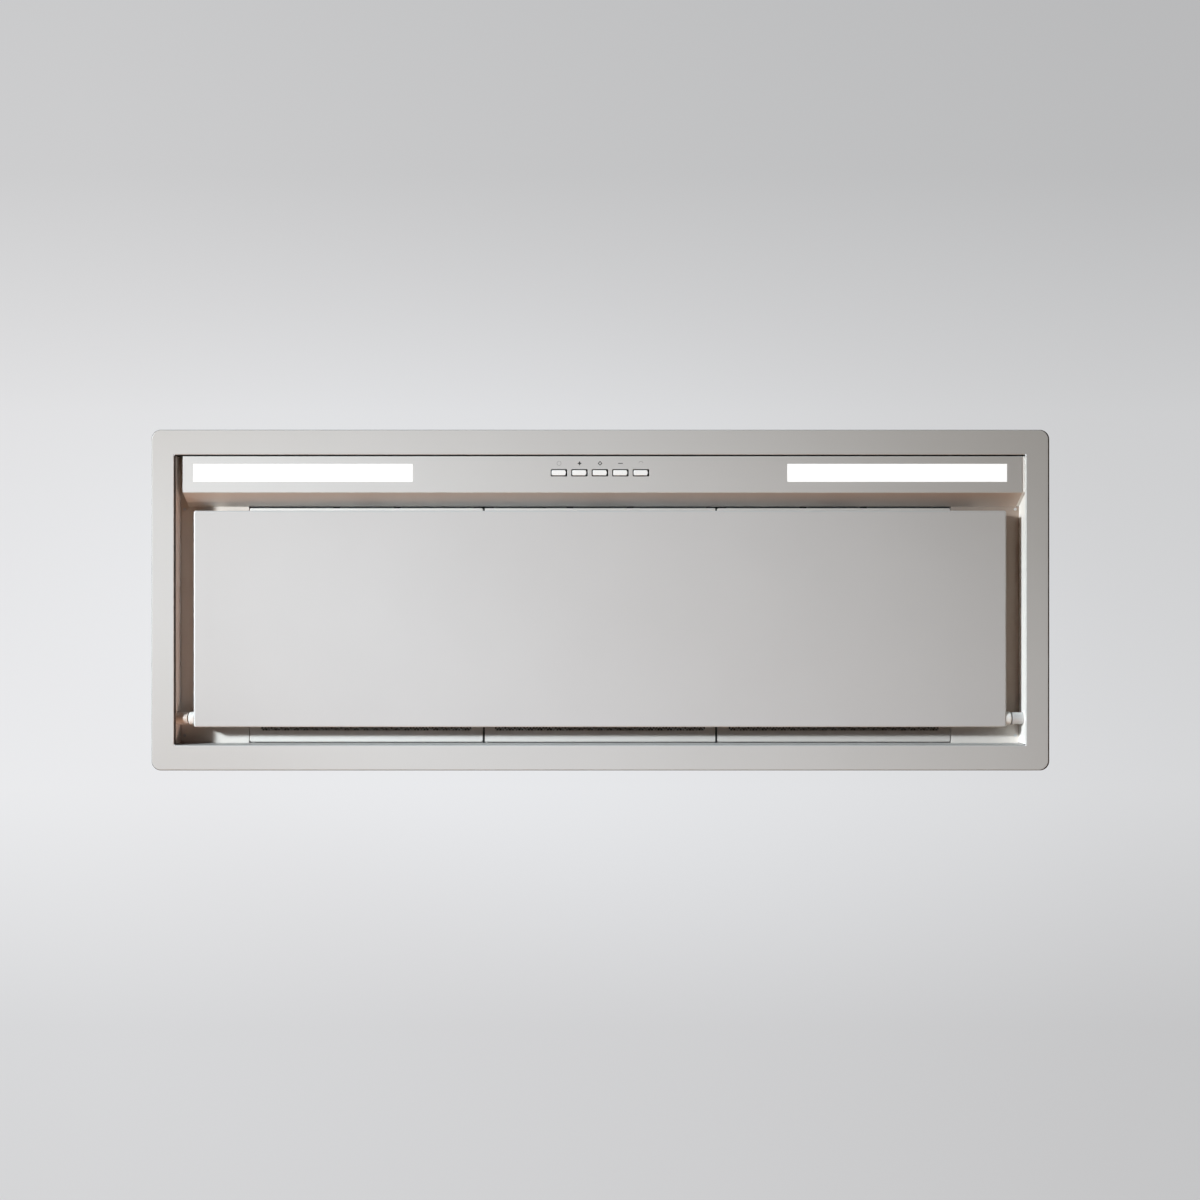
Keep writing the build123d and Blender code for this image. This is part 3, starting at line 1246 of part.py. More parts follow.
with BuildPart() as capacitor_band:
    with BuildSketch(Plane.YZ.offset(-electrics_x - clip_band_w / 2)):
        with Locations((capacitor_y, capacitor_z)):
            Circle(band_r)
            Rectangle(2 * band_r, band_r, align=(Align.CENTER, Align.MIN))
        with Locations((capacitor_y, under_z)):
            Rectangle(2 * (ear_y + screw_head_r), clip_band_t, align=(Align.CENTER, Align.MAX))
        with Locations((capacitor_y, capacitor_z)):
            Circle(capacitor_r, mode=Mode.SUBTRACT)
            Rectangle(2 * capacitor_r, band_r, align=(Align.CENTER, Align.MIN), mode=Mode.SUBTRACT)
    extrude(amount=clip_band_w)
    with Locations(*[(x, y, under_z) for x, y in band_spots]):
        Cylinder(screw_r + hole_clear, clip_band_t, align=hanging, mode=Mode.SUBTRACT)
capacitor_band.part.label = "capacitor_band"
export_step(capacitor_band.part, "parts/capacitor_band.step")

# Lamp driver, a moulded supply for the LEDs under the casing's top, with a screwed ear at each end.
with BuildPart() as lamp_driver:
    with Locations((electrics_x, driver_y, under_z)):
        Box(driver_w, driver_d, driver_h, align=hanging)
    fillet(lamp_driver.edges().filter_by(Axis.Z), radius=driver_corner_r)
    fillet(lamp_driver.faces().sort_by(Axis.Z)[0].edges(), radius=driver_edge_r)
    with Locations((electrics_x, driver_y, under_z)):
        Box(driver_w + 2 * driver_ear, driver_d / 2, driver_ear_t, align=hanging)
    with Locations(*[(x, y, under_z) for x, y in driver_spots]):
        Cylinder(screw_r + hole_clear, driver_ear_t, align=hanging, mode=Mode.SUBTRACT)
lamp_driver.part.label = "lamp_driver"
export_step(lamp_driver.part, "parts/lamp_driver.step")

# Side clips, bent spring strips riveted to the casing's ends. Each bows out and down to catch the
# top of the cabinet's base board, then curls in so that the casing can be pushed up.
with BuildPart() as side_clips:
    for y in clip_ys:
        with BuildSketch(Plane.XZ.offset(-y)):
            with BuildLine():
                FilletPolyline(
                    (casing_outer_x, clip_top_z),
                    (casing_outer_x, clip_bend_z),
                    (casing_outer_x + clip_spread - clip_t, clip_low_z + clip_tip),
                    (casing_outer_x + clip_spread / 2, clip_low_z),
                    radius=clip_bend_r,
                )
                offset(amount=clip_t, side=Side.LEFT)
            make_face()
        extrude(amount=clip_w / 2, both=True)
    mirror(about=Plane.YZ)
    with Locations(*[Location((0, y, z), (0, 90, 0)) for y, z in clip_rivet_spots]):
        Cylinder(rivet_r + hole_clear, 2 * casing_outer_x + 4 * clip_t, mode=Mode.SUBTRACT)
side_clips.part.label = "side_clips"
export_step(side_clips.part, "parts/side_clips.step")

# Rivets. Four close the folded corners of the deck beside the filters, and two hold each clip.
with BuildPart() as rivets:
    for x, y in deck_rivet_spots:
        with Locations((x, y, deck_z)):
            Cylinder(rivet_head_r, rivet_head_h, align=hanging)
            Cylinder(rivet_r, deck_t, align=standing)
        with Locations((x, y, deck_z + deck_t)):
            Cylinder(rivet_head_r, rivet_head_h, align=standing)
    for y, z in clip_rivet_spots:
        for side in (-1, 1):
            outward = Plane((side * casing_outer_x, y, z), z_dir=(side, 0, 0))
            with Locations(outward.offset(clip_t)):
                Cylinder(rivet_head_r, rivet_head_h, align=standing)
            with Locations(outward.offset(-casing_t)):
                Cylinder(rivet_r, casing_t + clip_t, align=standing)
                Cylinder(rivet_head_r, rivet_head_h, align=hanging)
rivets.part.label = "rivets"
export_step(rivets.part, "parts/rivets.step")

# Pan screws, all with one head. They hold the blower box to the casing, the collar and the scroll
# to the outlet plate, the motor mount to the scroll, and the electric pieces to the casing.
seats_from_above = [
    (casing_top_z + box_t, rim_spots),
    (collar_z, flange_spots),
    (terminal_z + terminal_h + terminal_cover_t, terminal_posts),
    (terminal_z + terminal_wall, terminal_fix_spots),
]
seats_from_below = [(under_z - clip_band_t, band_spots), (under_z - driver_ear_t, driver_spots)]
with BuildPart() as pan_screws:
    for z, spots in seats_from_above:
        with Locations(*[(x, y, z) for x, y in spots]):
            Cylinder(screw_head_r, screw_head_h, align=standing)
            Cylinder(screw_r, screw_l, align=hanging)
    for z, spots in seats_from_below:
        with Locations(*[(x, y, z) for x, y in spots]):
            Cylinder(screw_head_r, screw_head_h, align=hanging)
            Cylinder(screw_r, screw_l, align=standing)
    with Locations(blower_plane.offset(arm_x - mount_arm_t)):
        with Locations(*mount_spots):
            Cylinder(screw_head_r, screw_head_h, align=hanging)
            Cylinder(screw_r, mount_arm_t + mount_bush_l + 2 * scroll_t, align=standing)
pan_screws.part.label = "pan_screws"
export_step(pan_screws.part, "parts/pan_screws.step")
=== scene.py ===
import bmesh
import bpy
import math
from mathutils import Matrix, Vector


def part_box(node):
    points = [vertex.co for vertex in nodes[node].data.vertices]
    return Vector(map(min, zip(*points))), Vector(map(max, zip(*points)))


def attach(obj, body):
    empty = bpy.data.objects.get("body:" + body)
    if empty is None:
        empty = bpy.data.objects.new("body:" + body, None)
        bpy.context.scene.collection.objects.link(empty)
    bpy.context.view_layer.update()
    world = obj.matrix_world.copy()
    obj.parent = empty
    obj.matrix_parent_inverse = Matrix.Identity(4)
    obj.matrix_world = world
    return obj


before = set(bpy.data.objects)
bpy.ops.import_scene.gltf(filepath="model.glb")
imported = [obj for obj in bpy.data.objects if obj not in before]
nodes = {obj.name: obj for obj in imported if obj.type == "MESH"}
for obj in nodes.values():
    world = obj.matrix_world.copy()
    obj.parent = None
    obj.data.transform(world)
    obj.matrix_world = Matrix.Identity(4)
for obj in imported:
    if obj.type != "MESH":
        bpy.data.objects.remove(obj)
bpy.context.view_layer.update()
mm = 0.001

# Trim frame. The flange and skirt are folded from steel sheet and stoved with a pale, warm grey
# satin enamel, which has a very fine peel and is a little thinner, so darker, along its edges.


def linear(red, green, blue):
    """A colour given as 0 to 255, as the linear values that a shader takes."""
    shares = [value / 255 for value in (red, green, blue)]
    tones = [s / 12.92 if s <= 0.04045 else ((s + 0.055) / 1.055) ** 2.4 for s in shares]
    return (*tones, 1.0)


def start_finish(name):
    """A new material, with its node tree and its shader."""
    material = bpy.data.materials.new(name)
    material.use_nodes = True
    return material, material.node_tree, material.node_tree.nodes["Principled BSDF"]


def put(tree, kind, inputs=None, **settings):
    """A new shader node with these settings and these values on its sockets."""
    node = tree.nodes.new("ShaderNode" + kind)
    for name, value in settings.items():
        setattr(node, name, value)
    for name, value in (inputs or {}).items():
        node.inputs[name].default_value = value
    return node


def grain(tree, scale, detail=3.0, stretch=(1, 1, 1)):
    """Noise over the object, so many grains to the metre, drawn out along some axes."""
    where = put(tree, "TexCoord")
    drawn = put(tree, "Mapping", {"Scale": stretch})
    noise = put(tree, "TexNoise", {"Scale": scale, "Detail": detail})
    tree.links.new(where.outputs["Object"], drawn.inputs["Vector"])
    tree.links.new(drawn.outputs["Vector"], noise.inputs["Vector"])
    return noise.outputs["Fac"]


def spread(tree, value, low, high, start=0.3, end=0.7):
    """A value between low and high, as another value goes from start to end."""
    ends = {"From Min": start, "From Max": end, "To Min": low, "To Max": high}
    node = put(tree, "MapRange", ends)
    tree.links.new(value, node.inputs["Value"])
    return node.outputs["Result"]


def blend(tree, share, tone, other):
    """A mix of two tones, by a share from 0 to 1. Each is a colour or a node's output."""
    node = put(tree, "Mix", data_type="RGBA")
    tree.links.new(share, node.inputs["Factor"])
    for socket, colour in ((node.inputs["A"], tone), (node.inputs["B"], other)):
        if isinstance(colour, tuple):
            socket.default_value = colour
        else:
            tree.links.new(colour, socket)
    return node.outputs["Result"]


def reckon(tree, operation, *values):
    """A value worked out from others, each of them a node's output or a plain number."""
    node = put(tree, "Math", operation=operation)
    for socket, value in zip(node.inputs, values):
        if isinstance(value, float):
            socket.default_value = value
        else:
            tree.links.new(value, socket)
    return node.outputs["Value"]


def relief(tree, shader, value, height, edge):
    """Fine relief over edges that are softened to a small radius."""
    rounded = put(tree, "Bevel", {"Radius": edge}, samples=4)
    bump = put(tree, "Bump", {"Distance": height, "Strength": 1.0})
    tree.links.new(rounded.outputs["Normal"], bump.inputs["Normal"])
    tree.links.new(value, bump.inputs["Height"])
    tree.links.new(bump.outputs["Normal"], shader.inputs["Normal"])


def along_edges(tree, radius):
    """A value that rises from 0 on flat faces to 1 on the edges of a part."""
    rounded = put(tree, "Bevel", {"Radius": radius}, samples=4)
    true = put(tree, "NewGeometry")
    turn = put(tree, "VectorMath", operation="DOT_PRODUCT")
    tree.links.new(rounded.outputs["Normal"], turn.inputs[0])
    tree.links.new(true.outputs["Normal"], turn.inputs[1])
    return spread(tree, turn.outputs["Value"], 0.0, 1.0, 0.995, 0.75)


def enamel(name, dark, light, roughness, edge=0.6 * mm, flake=0.45, bloom=0.6):
    """Stoved satin enamel on sheet steel, with metal flake in it and a soft bloom over it."""
    material, tree, shader = start_finish(name)
    peel = grain(tree, 1400, detail=1)
    tone = blend(tree, grain(tree, 9, detail=4), linear(*dark), linear(*light))
    thin_coat = reckon(tree, "MULTIPLY", along_edges(tree, edge), 0.6)
    thin_tone = linear(*[value * 0.93 for value in dark])
    tree.links.new(blend(tree, thin_coat, tone, thin_tone), shader.inputs["Base Color"])
    rough = spread(tree, peel, roughness - 0.03, roughness + 0.05)
    tree.links.new(rough, shader.inputs["Roughness"])
    shader.inputs["Metallic"].default_value = flake
    shader.inputs["Sheen Weight"].default_value = bloom
    shader.inputs["Sheen Roughness"].default_value = 0.5
    relief(tree, shader, peel, 0.01 * mm, edge)
    return material


def dress(material, *names):
    """Gives CAD nodes their finish."""
    for name in names:
        nodes[name].data.materials.clear()
        nodes[name].data.materials.append(material)


trim_enamel = enamel(
    "trim_enamel", (194, 193, 191), (199, 198, 196), 0.52, edge=0.35 * mm, flake=0.2, bloom=0.1
)
dress(trim_enamel, "trim_frame")

# Skirt inside the mouth. Above the fold its two ends are paler, as painted light from the lamps,
# the right one nearly white where the lamp falls. A dark line of painted shade runs along the left
# one, its rear wall is painted a deeper grey as shade and its front wall, behind the bar, is
# painted dark as shade.
far_away = 1.0
face_deep = 0.5 * mm
face_clear = 1 * mm
fold_end = 0.6 * mm
fold_top = 1.2 * mm
left_shade_low, left_shade_high = 0.3 * mm, 7 * mm
painted_shade_tones = (20, 19, 18), (28, 27, 26)
mouth_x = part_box("filter_deck")[1].x
mouth_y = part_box("filter_deck")[1].y


def place_on(tree, axis, system="Object"):
    """How far along an axis of the part a point lies, in metres or as a share of the part's box."""
    place = put(tree, "SeparateXYZ")
    tree.links.new(put(tree, "TexCoord").outputs[system], place.inputs["Vector"])
    return place.outputs[axis]


def band(material, axis, low, high, soft=0.2 * mm):
    """A value that is 1 where the part lies between two places on an axis, and 0 elsewhere."""
    tree = material.node_tree
    place = place_on(tree, axis)
    past_low = spread(tree, place, 0.0, 1.0, low - soft, low + soft)
    before_high = spread(tree, place, 1.0, 0.0, high - soft, high + soft)
    return reckon(tree, "MULTIPLY", past_low, before_high)


def paint_over(material, dark, light, *bands):
    """Paints other tones over a finish, where all of the bands meet."""
    tree = material.node_tree
    colour = tree.nodes["Principled BSDF"].inputs["Base Color"]
    share = bands[0]
    for other in bands[1:]:
        share = reckon(tree, "MULTIPLY", share, other)
    tone = blend(tree, grain(tree, 30), linear(*dark), linear(*light))
    tree.links.new(blend(tree, share, colour.links[0].from_socket, tone), colour)


across_mouth = band(trim_enamel, "X", -mouth_x - face_deep, mouth_x + face_deep)
along_mouth = band(trim_enamel, "Y", -mouth_y - face_deep, mouth_y + face_deep)
left_end = band(trim_enamel, "X", -mouth_x - face_deep, -mouth_x + face_clear)
right_end = band(trim_enamel, "X", mouth_x - face_clear, mouth_x + face_deep)
front_wall = band(trim_enamel, "Y", -mouth_y - face_deep, -mouth_y + face_clear)
rear_wall = band(trim_enamel, "Y", mouth_y - face_clear, mouth_y + face_deep)
over_fold = band(trim_enamel, "Z", fold_top, far_away)
in_fold = band(trim_enamel, "Z", fold_end, far_away)
in_left_shade = band(trim_enamel, "Z", left_shade_low, left_shade_high)
# Painted light: the paler skirt ends stand in for lamp light on the walls, the right one whitest
# where it falls.
paint_over(trim_enamel, (220, 213, 207), (225, 218, 212), left_end, along_mouth, over_fold)
paint_over(trim_enamel, (246, 243, 238), (250, 247, 242), right_end, along_mouth, over_fold)
# Painted shade: a dark line along the left skirt end, which lies in shade.
paint_over(trim_enamel, *painted_shade_tones, left_end, along_mouth, in_left_shade)
# Painted shade: the rear wall is painted a deeper grey where it lies in shade.
paint_over(trim_enamel, (150, 147, 144), (156, 153, 150), rear_wall, across_mouth, in_fold)
# Painted shade: the front wall behind the bar is painted dark as the shade in that gap.
paint_over(trim_enamel, *painted_shade_tones, front_wall, across_mouth, in_fold)

# Recess ceiling. The deck is pressed from steel sheet and enamelled like the trim, in a warmer,
# deeper grey that is painted shade for the recess, deepest at its right end in the panel's shadow
# and pale along the rear where the lamp falls, with a dark band of painted shade in front of the
# filters. The cable hole in it has a black rubber bush.
# Painted shade: the deck's warmer, deeper grey stands in for the shade of the recess ceiling.
deck_shade_enamel = enamel("deck_shade_enamel", (212, 200, 190), (218, 206, 196), 0.56)
dress(deck_shade_enamel, "filter_deck")
deck_fade = 0.3
rear_strip_depth = 22 * mm
front_shade_depth = 1.7 * mm
bank_low, bank_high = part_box("filter_frame_left")[0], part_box("filter_frame_right")[1]
deck_right_shade = band(deck_shade_enamel, "X", deck_fade, far_away, deck_fade)
lit_rear_strip = band(deck_shade_enamel, "Y", mouth_y - rear_strip_depth, far_away)
over_bank = band(deck_shade_enamel, "X", bank_low.x - 0.5 * mm, bank_high.x + 0.5 * mm)
shade_before_bank = band(deck_shade_enamel, "Y", bank_low.y - front_shade_depth, bank_low.y + 0.2 * mm)
# Painted shade at the right end, in the panel's shadow, and painted light along the rear strip,
# where the lamp falls.
paint_over(deck_shade_enamel, (140, 121, 107), (146, 127, 113), deck_right_shade)
paint_over(deck_shade_enamel, (228, 221, 214), (233, 226, 219), lit_rear_strip)
# Painted shade: a dark band on the deck in front of the filters, under the panel's front edge.
paint_over(deck_shade_enamel, *painted_shade_tones, over_bank, shade_before_bank)


def moulded(name, dark, light, roughness, texture=900, depth=0.03 * mm, edge=0.3 * mm):
    """Moulded plastic or rubber with a fine eroded texture."""
    material, tree, shader = start_finish(name)
    skin = grain(tree, texture, detail=2)
    tone = blend(tree, grain(tree, 25), linear(*dark), linear(*light))
    tree.links.new(tone, shader.inputs["Base Color"])
    rough = spread(tree, skin, roughness - 0.05, roughness + 0.08)
    tree.links.new(rough, shader.inputs["Roughness"])
    relief(tree, shader, skin, depth, edge)
    return material


rubber = moulded("bush_rubber", (22, 22, 22), (34, 34, 33), 0.7)
dress(rubber, "cable_bush")

# Light and control bar. It is folded from one sheet and enamelled, painted dark inside its front
# fold as shade.
# Its rear face slopes up to the ceiling in a warmer tone, painted paler to the left where the lamp
# falls and deeper to the right as shade.
bar_enamel = enamel("bar_enamel", (206, 205, 203), (211, 210, 208), 0.52)
dress(bar_enamel, "control_bar")
bar_low, bar_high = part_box("control_bar")
bar_front = band(bar_enamel, "Y", bar_low.y - face_clear, bar_low.y + 1.1 * mm)
bar_inside = band(bar_enamel, "Z", 3.2 * mm, far_away)
# Painted shade: the inside of the bar's front fold is dark, as the shade in the gap.
paint_over(bar_enamel, *painted_shade_tones, bar_front, bar_inside)
slope_fade = 0.3
slope_back = band(bar_enamel, "Y", -125.5 * mm, far_away)
slope_up = band(bar_enamel, "Z", 2.6 * mm, far_away)
slope_lit_left = band(bar_enamel, "X", -far_away, -0.25, slope_fade)
slope_shaded_right = band(bar_enamel, "X", 0.2, far_away, slope_fade)
# Painted light on the slope's left, where the lamp falls, and painted shade on its right.
paint_over(bar_enamel, (226, 216, 206), (230, 220, 210), slope_back, slope_up, slope_lit_left)
paint_over(bar_enamel, (200, 182, 168), (204, 186, 172), slope_back, slope_up, slope_shaded_right)

# Bar's end cap. A white moulding that fills the gap between the bar's right end and the skirt, with
# the bar's own profile and small rounded edges. Its white is painted light, standing in for the lit
# skirt wall in the gap.
cap_profile = [(-168.4, 2.5), (-126.1, 2.5), (-111.4, 31.7), (-168.4, 31.7)]
cap_gap = 0.1 * mm
cap_edge = 0.4 * mm


def make_piece(name, shape, material):
    """A new piece with this shape and this finish, put in the scene."""
    mesh = bpy.data.meshes.new(name)
    shape.to_mesh(mesh)
    shape.free()
    mesh.materials.append(material)
    piece = bpy.data.objects.new(name, mesh)
    bpy.context.scene.collection.objects.link(piece)
    return piece


shape = bmesh.new()
cap_rings = [
    [shape.verts.new((x, y * mm, z * mm)) for y, z in cap_profile]
    for x in (bar_high.x + cap_gap, mouth_x - cap_gap)
]
shape.faces.new(cap_rings[0])
shape.faces.new(cap_rings[1][::-1])
for i in range(len(cap_profile)):
    after = (i + 1) % len(cap_profile)
    shape.faces.new((cap_rings[0][i], cap_rings[1][i], cap_rings[1][after], cap_rings[0][after]))
bmesh.ops.bevel(shape, geom=list(shape.edges), offset=cap_edge, segments=3, affect="EDGES")
bmesh.ops.recalc_face_normals(shape, faces=shape.faces)
end_cap_plastic = moulded(
    "end_cap_plastic", (240, 239, 236), (246, 245, 242), 0.4, depth=0.01 * mm
)
end_cap = make_piece("bar_end_cap", shape, end_cap_plastic)
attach(end_cap, "hood")

# Buttons. Moulded caps with a white face, whose sides are painted dark as shade, in a dark guide
# that nuts hold in the bar, each with a switch behind on a green board. A dark rounded border at
# the right end of each face is painted shade, standing in for the shadow of the cap's side.
button_names = ["light", "faster", "boost", "slower", "power"]
cap_plastic = moulded(
    "cap_plastic", (232, 232, 230), (238, 238, 236), 0.28, depth=0.004 * mm, edge=0.4 * mm
)
dress(cap_plastic, *[f"button_{name}" for name in button_names])
cap_shade_tones = (16, 16, 18), (24, 24, 26)
cap_face_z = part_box("button_boost")[0].z
behind_face = band(cap_plastic, "Z", cap_face_z + 0.5 * mm, far_away, 0.1 * mm)
# Painted shade: the cap's sides, behind its face, are dark.
paint_over(cap_plastic, *cap_shade_tones, behind_face)
# Painted shade: a dark rounded border at the right end of each face.
border_from, border_to = 0.915, 0.925
border_bulge = 0.4
cap_tree = cap_plastic.node_tree
cap_across = place_on(cap_tree, "X", "Generated")
cap_along = place_on(cap_tree, "Y", "Generated")
squared = reckon(cap_tree, "POWER", reckon(cap_tree, "SUBTRACT", cap_along, 0.5), 2.0)
bulged = reckon(cap_tree, "MULTIPLY_ADD", squared, border_bulge, cap_across)
paint_over(cap_plastic, *cap_shade_tones, spread(cap_tree, bulged, 0.0, 1.0, border_from, border_to))
dark_plastic = moulded("dark_plastic", (20, 20, 21), (32, 32, 33), 0.5)
dress(dark_plastic, "button_guide")


def circuit(name):
    """Green solder mask over fine tracks, with pale pads."""
    material, tree, shader = start_finish(name)
    tracks = grain(tree, 260, detail=0, stretch=(1, 0.15, 1))
    node = put(tree, "ValToRGB")
    node.color_ramp.elements[0].position = 0.44
    node.color_ramp.elements[0].color = linear(16, 70, 40)
    node.color_ramp.elements[1].position = 0.56
    node.color_ramp.elements[1].color = linear(30, 104, 60)
    tree.links.new(tracks, node.inputs["Fac"])
    tree.links.new(node.outputs["Color"], shader.inputs["Base Color"])
    shader.inputs["Roughness"].default_value = 0.35
    relief(tree, shader, tracks, 0.03 * mm, 0.1 * mm)
    return material


dress(circuit("switch_board"), "control_board")


def rolled_metal(name, dark, light, roughness, lines=(30, 1, 1), edge=0.25 * mm):
    """Bright metal with fine rolling lines."""
    material, tree, shader = start_finish(name)
    stripes = grain(tree, 60, detail=4, stretch=lines)
    tone = blend(tree, stripes, linear(*dark), linear(*light))
    tree.links.new(tone, shader.inputs["Base Color"])
    rough = spread(tree, stripes, roughness - 0.06, roughness + 0.06)
    tree.links.new(rough, shader.inputs["Roughness"])
    shader.inputs["Metallic"].default_value = 1.0
    relief(tree, shader, stripes, 0.01 * mm, edge)
    return material


zinc = rolled_metal("zinc_plate", (176, 178, 182), (206, 207, 209), 0.3)
dress(zinc, "stud_nuts", "board_screws")

# Marks over the buttons. A ring, a four-pointed plus, a diamond, a minus and an open arc are
# printed on the bar. The three in the middle are in dark ink and the outer two in pale grey.
mark_y = -160.2 * mm
mark_pitch = 24 * mm
mark_size = 5.4 * mm
mark_line = 0.85 * mm
mark_depth = 0.04 * mm
fine_line = mark_line / 2
diamond_hole = 0.58
ring_share = 0.9


def printed(name, dark, light):
    """Matt ink with a very fine mottle."""
    material, tree, shader = start_finish(name)
    tone = blend(tree, grain(tree, 2000), linear(*dark), linear(*light))
    tree.links.new(tone, shader.inputs["Base Color"])
    shader.inputs["Roughness"].default_value = 0.6
    return material


def flat_mark(name, loops, x, material):
    """A printed mark, made of closed loops of points about its own centre."""
    shape = bmesh.new()
    for loop in loops:
        low, high = (
            [shape.verts.new((x + px, mark_y + py, z)) for px, py in loop]
            for z in (bar_low.z - mark_depth, bar_low.z)
        )
        shape.faces.new(low)
        shape.faces.new(high[::-1])
        for i in range(len(loop)):
            after = (i + 1) % len(loop)
            shape.faces.new((low[i], high[i], high[after], low[after]))
    bmesh.ops.recalc_face_normals(shape, faces=shape.faces)
    mark = make_piece(name, shape, material)
    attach(mark, "hood")


def arc_band(radius, line, start, end, steps=20):
    """The outline of a curved line of some width, from one angle to another in degrees."""
    turns = [math.radians(start + (end - start) * i / steps) for i in range(steps + 1)]
    outer, inner = (
        [(edge * math.cos(t), edge * math.sin(t)) for t in turns]
        for edge in (radius + line / 2, radius - line / 2)
    )
    return outer + inner[::-1]


ink = printed("mark_ink", (14, 14, 16), (24, 24, 26))
faint_ink = printed("faint_ink", (140, 139, 138), (154, 153, 151))
half = mark_size / 2
tips = [(0, -half), (half, 0), (0, half), (-half, 0)]
waists = [(x * mark_line, y * mark_line) for x, y in ((1, -1), (1, 1), (-1, 1), (-1, -1))]
plus = [point for pair in zip(tips, waists) for point in pair]
holes = [(x * diamond_hole, y * diamond_hole) for x, y in tips]
diamond = [[tips[i - 1], tips[i], holes[i], holes[i - 1]] for i in range(4)]
minus = [(-half, -fine_line), (half, -fine_line), (half, fine_line), (-half, fine_line)]
ring = [arc_band(half * ring_share, fine_line, start, start + 180) for start in (0, 180)]
open_arc = arc_band(half * ring_share, fine_line, 190, 350)
flat_mark("mark_light", ring, -2 * mark_pitch, faint_ink)
flat_mark("mark_faster", [plus], -mark_pitch, ink)
flat_mark("mark_boost", diamond, 0, ink)
flat_mark("mark_slower", [minus], mark_pitch, ink)
flat_mark("mark_power", [open_arc], 2 * mark_pitch, faint_ink)

# Lamps. Each opal strip is lit evenly by a row of LEDs on a white board, in an aluminium carrier
# that nuts hold over the bar's window.
lens_material, lens_tree, lens_shader = start_finish("opal_lens")
lens_tone = blend(lens_tree, grain(lens_tree, 40), linear(168, 168, 167), linear(174, 174, 174))
lens_tree.links.new(lens_tone, lens_shader.inputs["Base Color"])
lens_glow = blend(lens_tree, grain(lens_tree, 40), linear(251, 251, 250), linear(255, 255, 255))
lens_tree.links.new(lens_glow, lens_shader.inputs["Emission Color"])
lens_shader.inputs["Emission Strength"].default_value = 0.78
lens_shader.inputs["Roughness"].default_value = 0.4
mill_aluminium = rolled_metal("mill_aluminium", (196, 197, 198), (216, 217, 218), 0.36)
white_board = moulded("white_board", (226, 226, 222), (236, 236, 232), 0.35)
for side in ("left", "right"):
    dress(lens_material, f"light_lens_{side}")
    dress(mill_aluminium, f"lamp_carrier_{side}")
    dress(white_board, f"led_board_{side}")

# Suction panel. A shallow enamelled tray with two galvanised hat channels inside, on white nylon
# bushes that turn on pins with enamelled sleeves. Two magnet catches under the deck hold it shut.
panel_enamel = enamel(
    "panel_enamel", (193, 192, 191), (198, 197, 196), 0.52, flake=0.2, bloom=0.1
)
dress(panel_enamel, "suction_panel", "hinge_stud_right")
# Painted shade: the left stud takes the deeper deck enamel, as it lies in the skirt's shadow.
dress(deck_shade_enamel, "hinge_stud_left")
dress(zinc, "hinge_nuts")


def galvanised(name):
    """Hot-dip zinc: flat crystals a few millimetres across, each a slightly different grey."""
    material, tree, shader = start_finish(name)
    where = put(tree, "TexCoord")
    crystals = put(tree, "TexVoronoi", {"Scale": 130.0, "Randomness": 1.0})
    tree.links.new(where.outputs["Object"], crystals.inputs["Vector"])
    grey = put(tree, "RGBToBW")
    tree.links.new(crystals.outputs["Color"], grey.inputs["Color"])
    tone = blend(tree, grey.outputs["Val"], linear(168, 171, 174), linear(198, 200, 202))
    tree.links.new(tone, shader.inputs["Base Color"])
    tree.links.new(spread(tree, grey.outputs["Val"], 0.34, 0.5, 0, 1), shader.inputs["Roughness"])
    shader.inputs["Metallic"].default_value = 0.85
    relief(tree, shader, grain(tree, 30, detail=5), 0.05 * mm, 0.6 * mm)
    return material


zinc_sheet = galvanised("zinc_sheet")
dress(zinc_sheet, "panel_stiffeners")
nylon = moulded("white_nylon", (226, 224, 220), (234, 232, 228), 0.42, depth=0.01 * mm)
dress(nylon, "hinge_bush_left", "hinge_bush_right", "panel_catches")

# Grease filters. The frames and their rails are folded from sheet and enamelled, painted paler to
# the left where the lamp falls, with bands of painted shade at the bank's front and in its two
# seams. The latches are dark mouldings. Inside are layers of bare aluminium mesh, pleated from side
# to side.
filter_names = ["left", "centre", "right"]
seam_half = 1.6 * mm
seam_lip = 0.95 * mm
seam_z = 32.6 * mm
frame_enamel = enamel("frame_enamel", (211, 204, 198), (216, 209, 203), 0.54, bloom=0.4)
dress(frame_enamel, "filter_rails", *[f"filter_frame_{name}" for name in filter_names])
bank_lit_left = band(frame_enamel, "X", -far_away, -0.15, 0.25)
bank_front_shade = band(frame_enamel, "Y", bank_low.y - 8 * mm, bank_low.y + 0.3 * mm)
# Painted light: the frames are paler to the left, where the lamp falls.
paint_over(frame_enamel, (230, 224, 218), (234, 228, 222), bank_lit_left)
# Painted shade: the front border of the bank is dark, under the panel's front edge.
paint_over(frame_enamel, *painted_shade_tones, bank_front_shade)
# Painted shade: the seams between filters and the frames' lips beside them are dark.
for seam_x in (-138 * mm, 138 * mm):
    seam = band(frame_enamel, "X", seam_x - seam_half, seam_x + seam_half)
    paint_over(frame_enamel, *painted_shade_tones, seam, band(frame_enamel, "Z", seam_z, far_away))
    lips = band(frame_enamel, "X", seam_x - seam_lip, seam_x + seam_lip, 0.15 * mm)
    paint_over(frame_enamel, *painted_shade_tones, lips)
dress(dark_plastic, *[f"filter_latch_{name}" for name in filter_names])


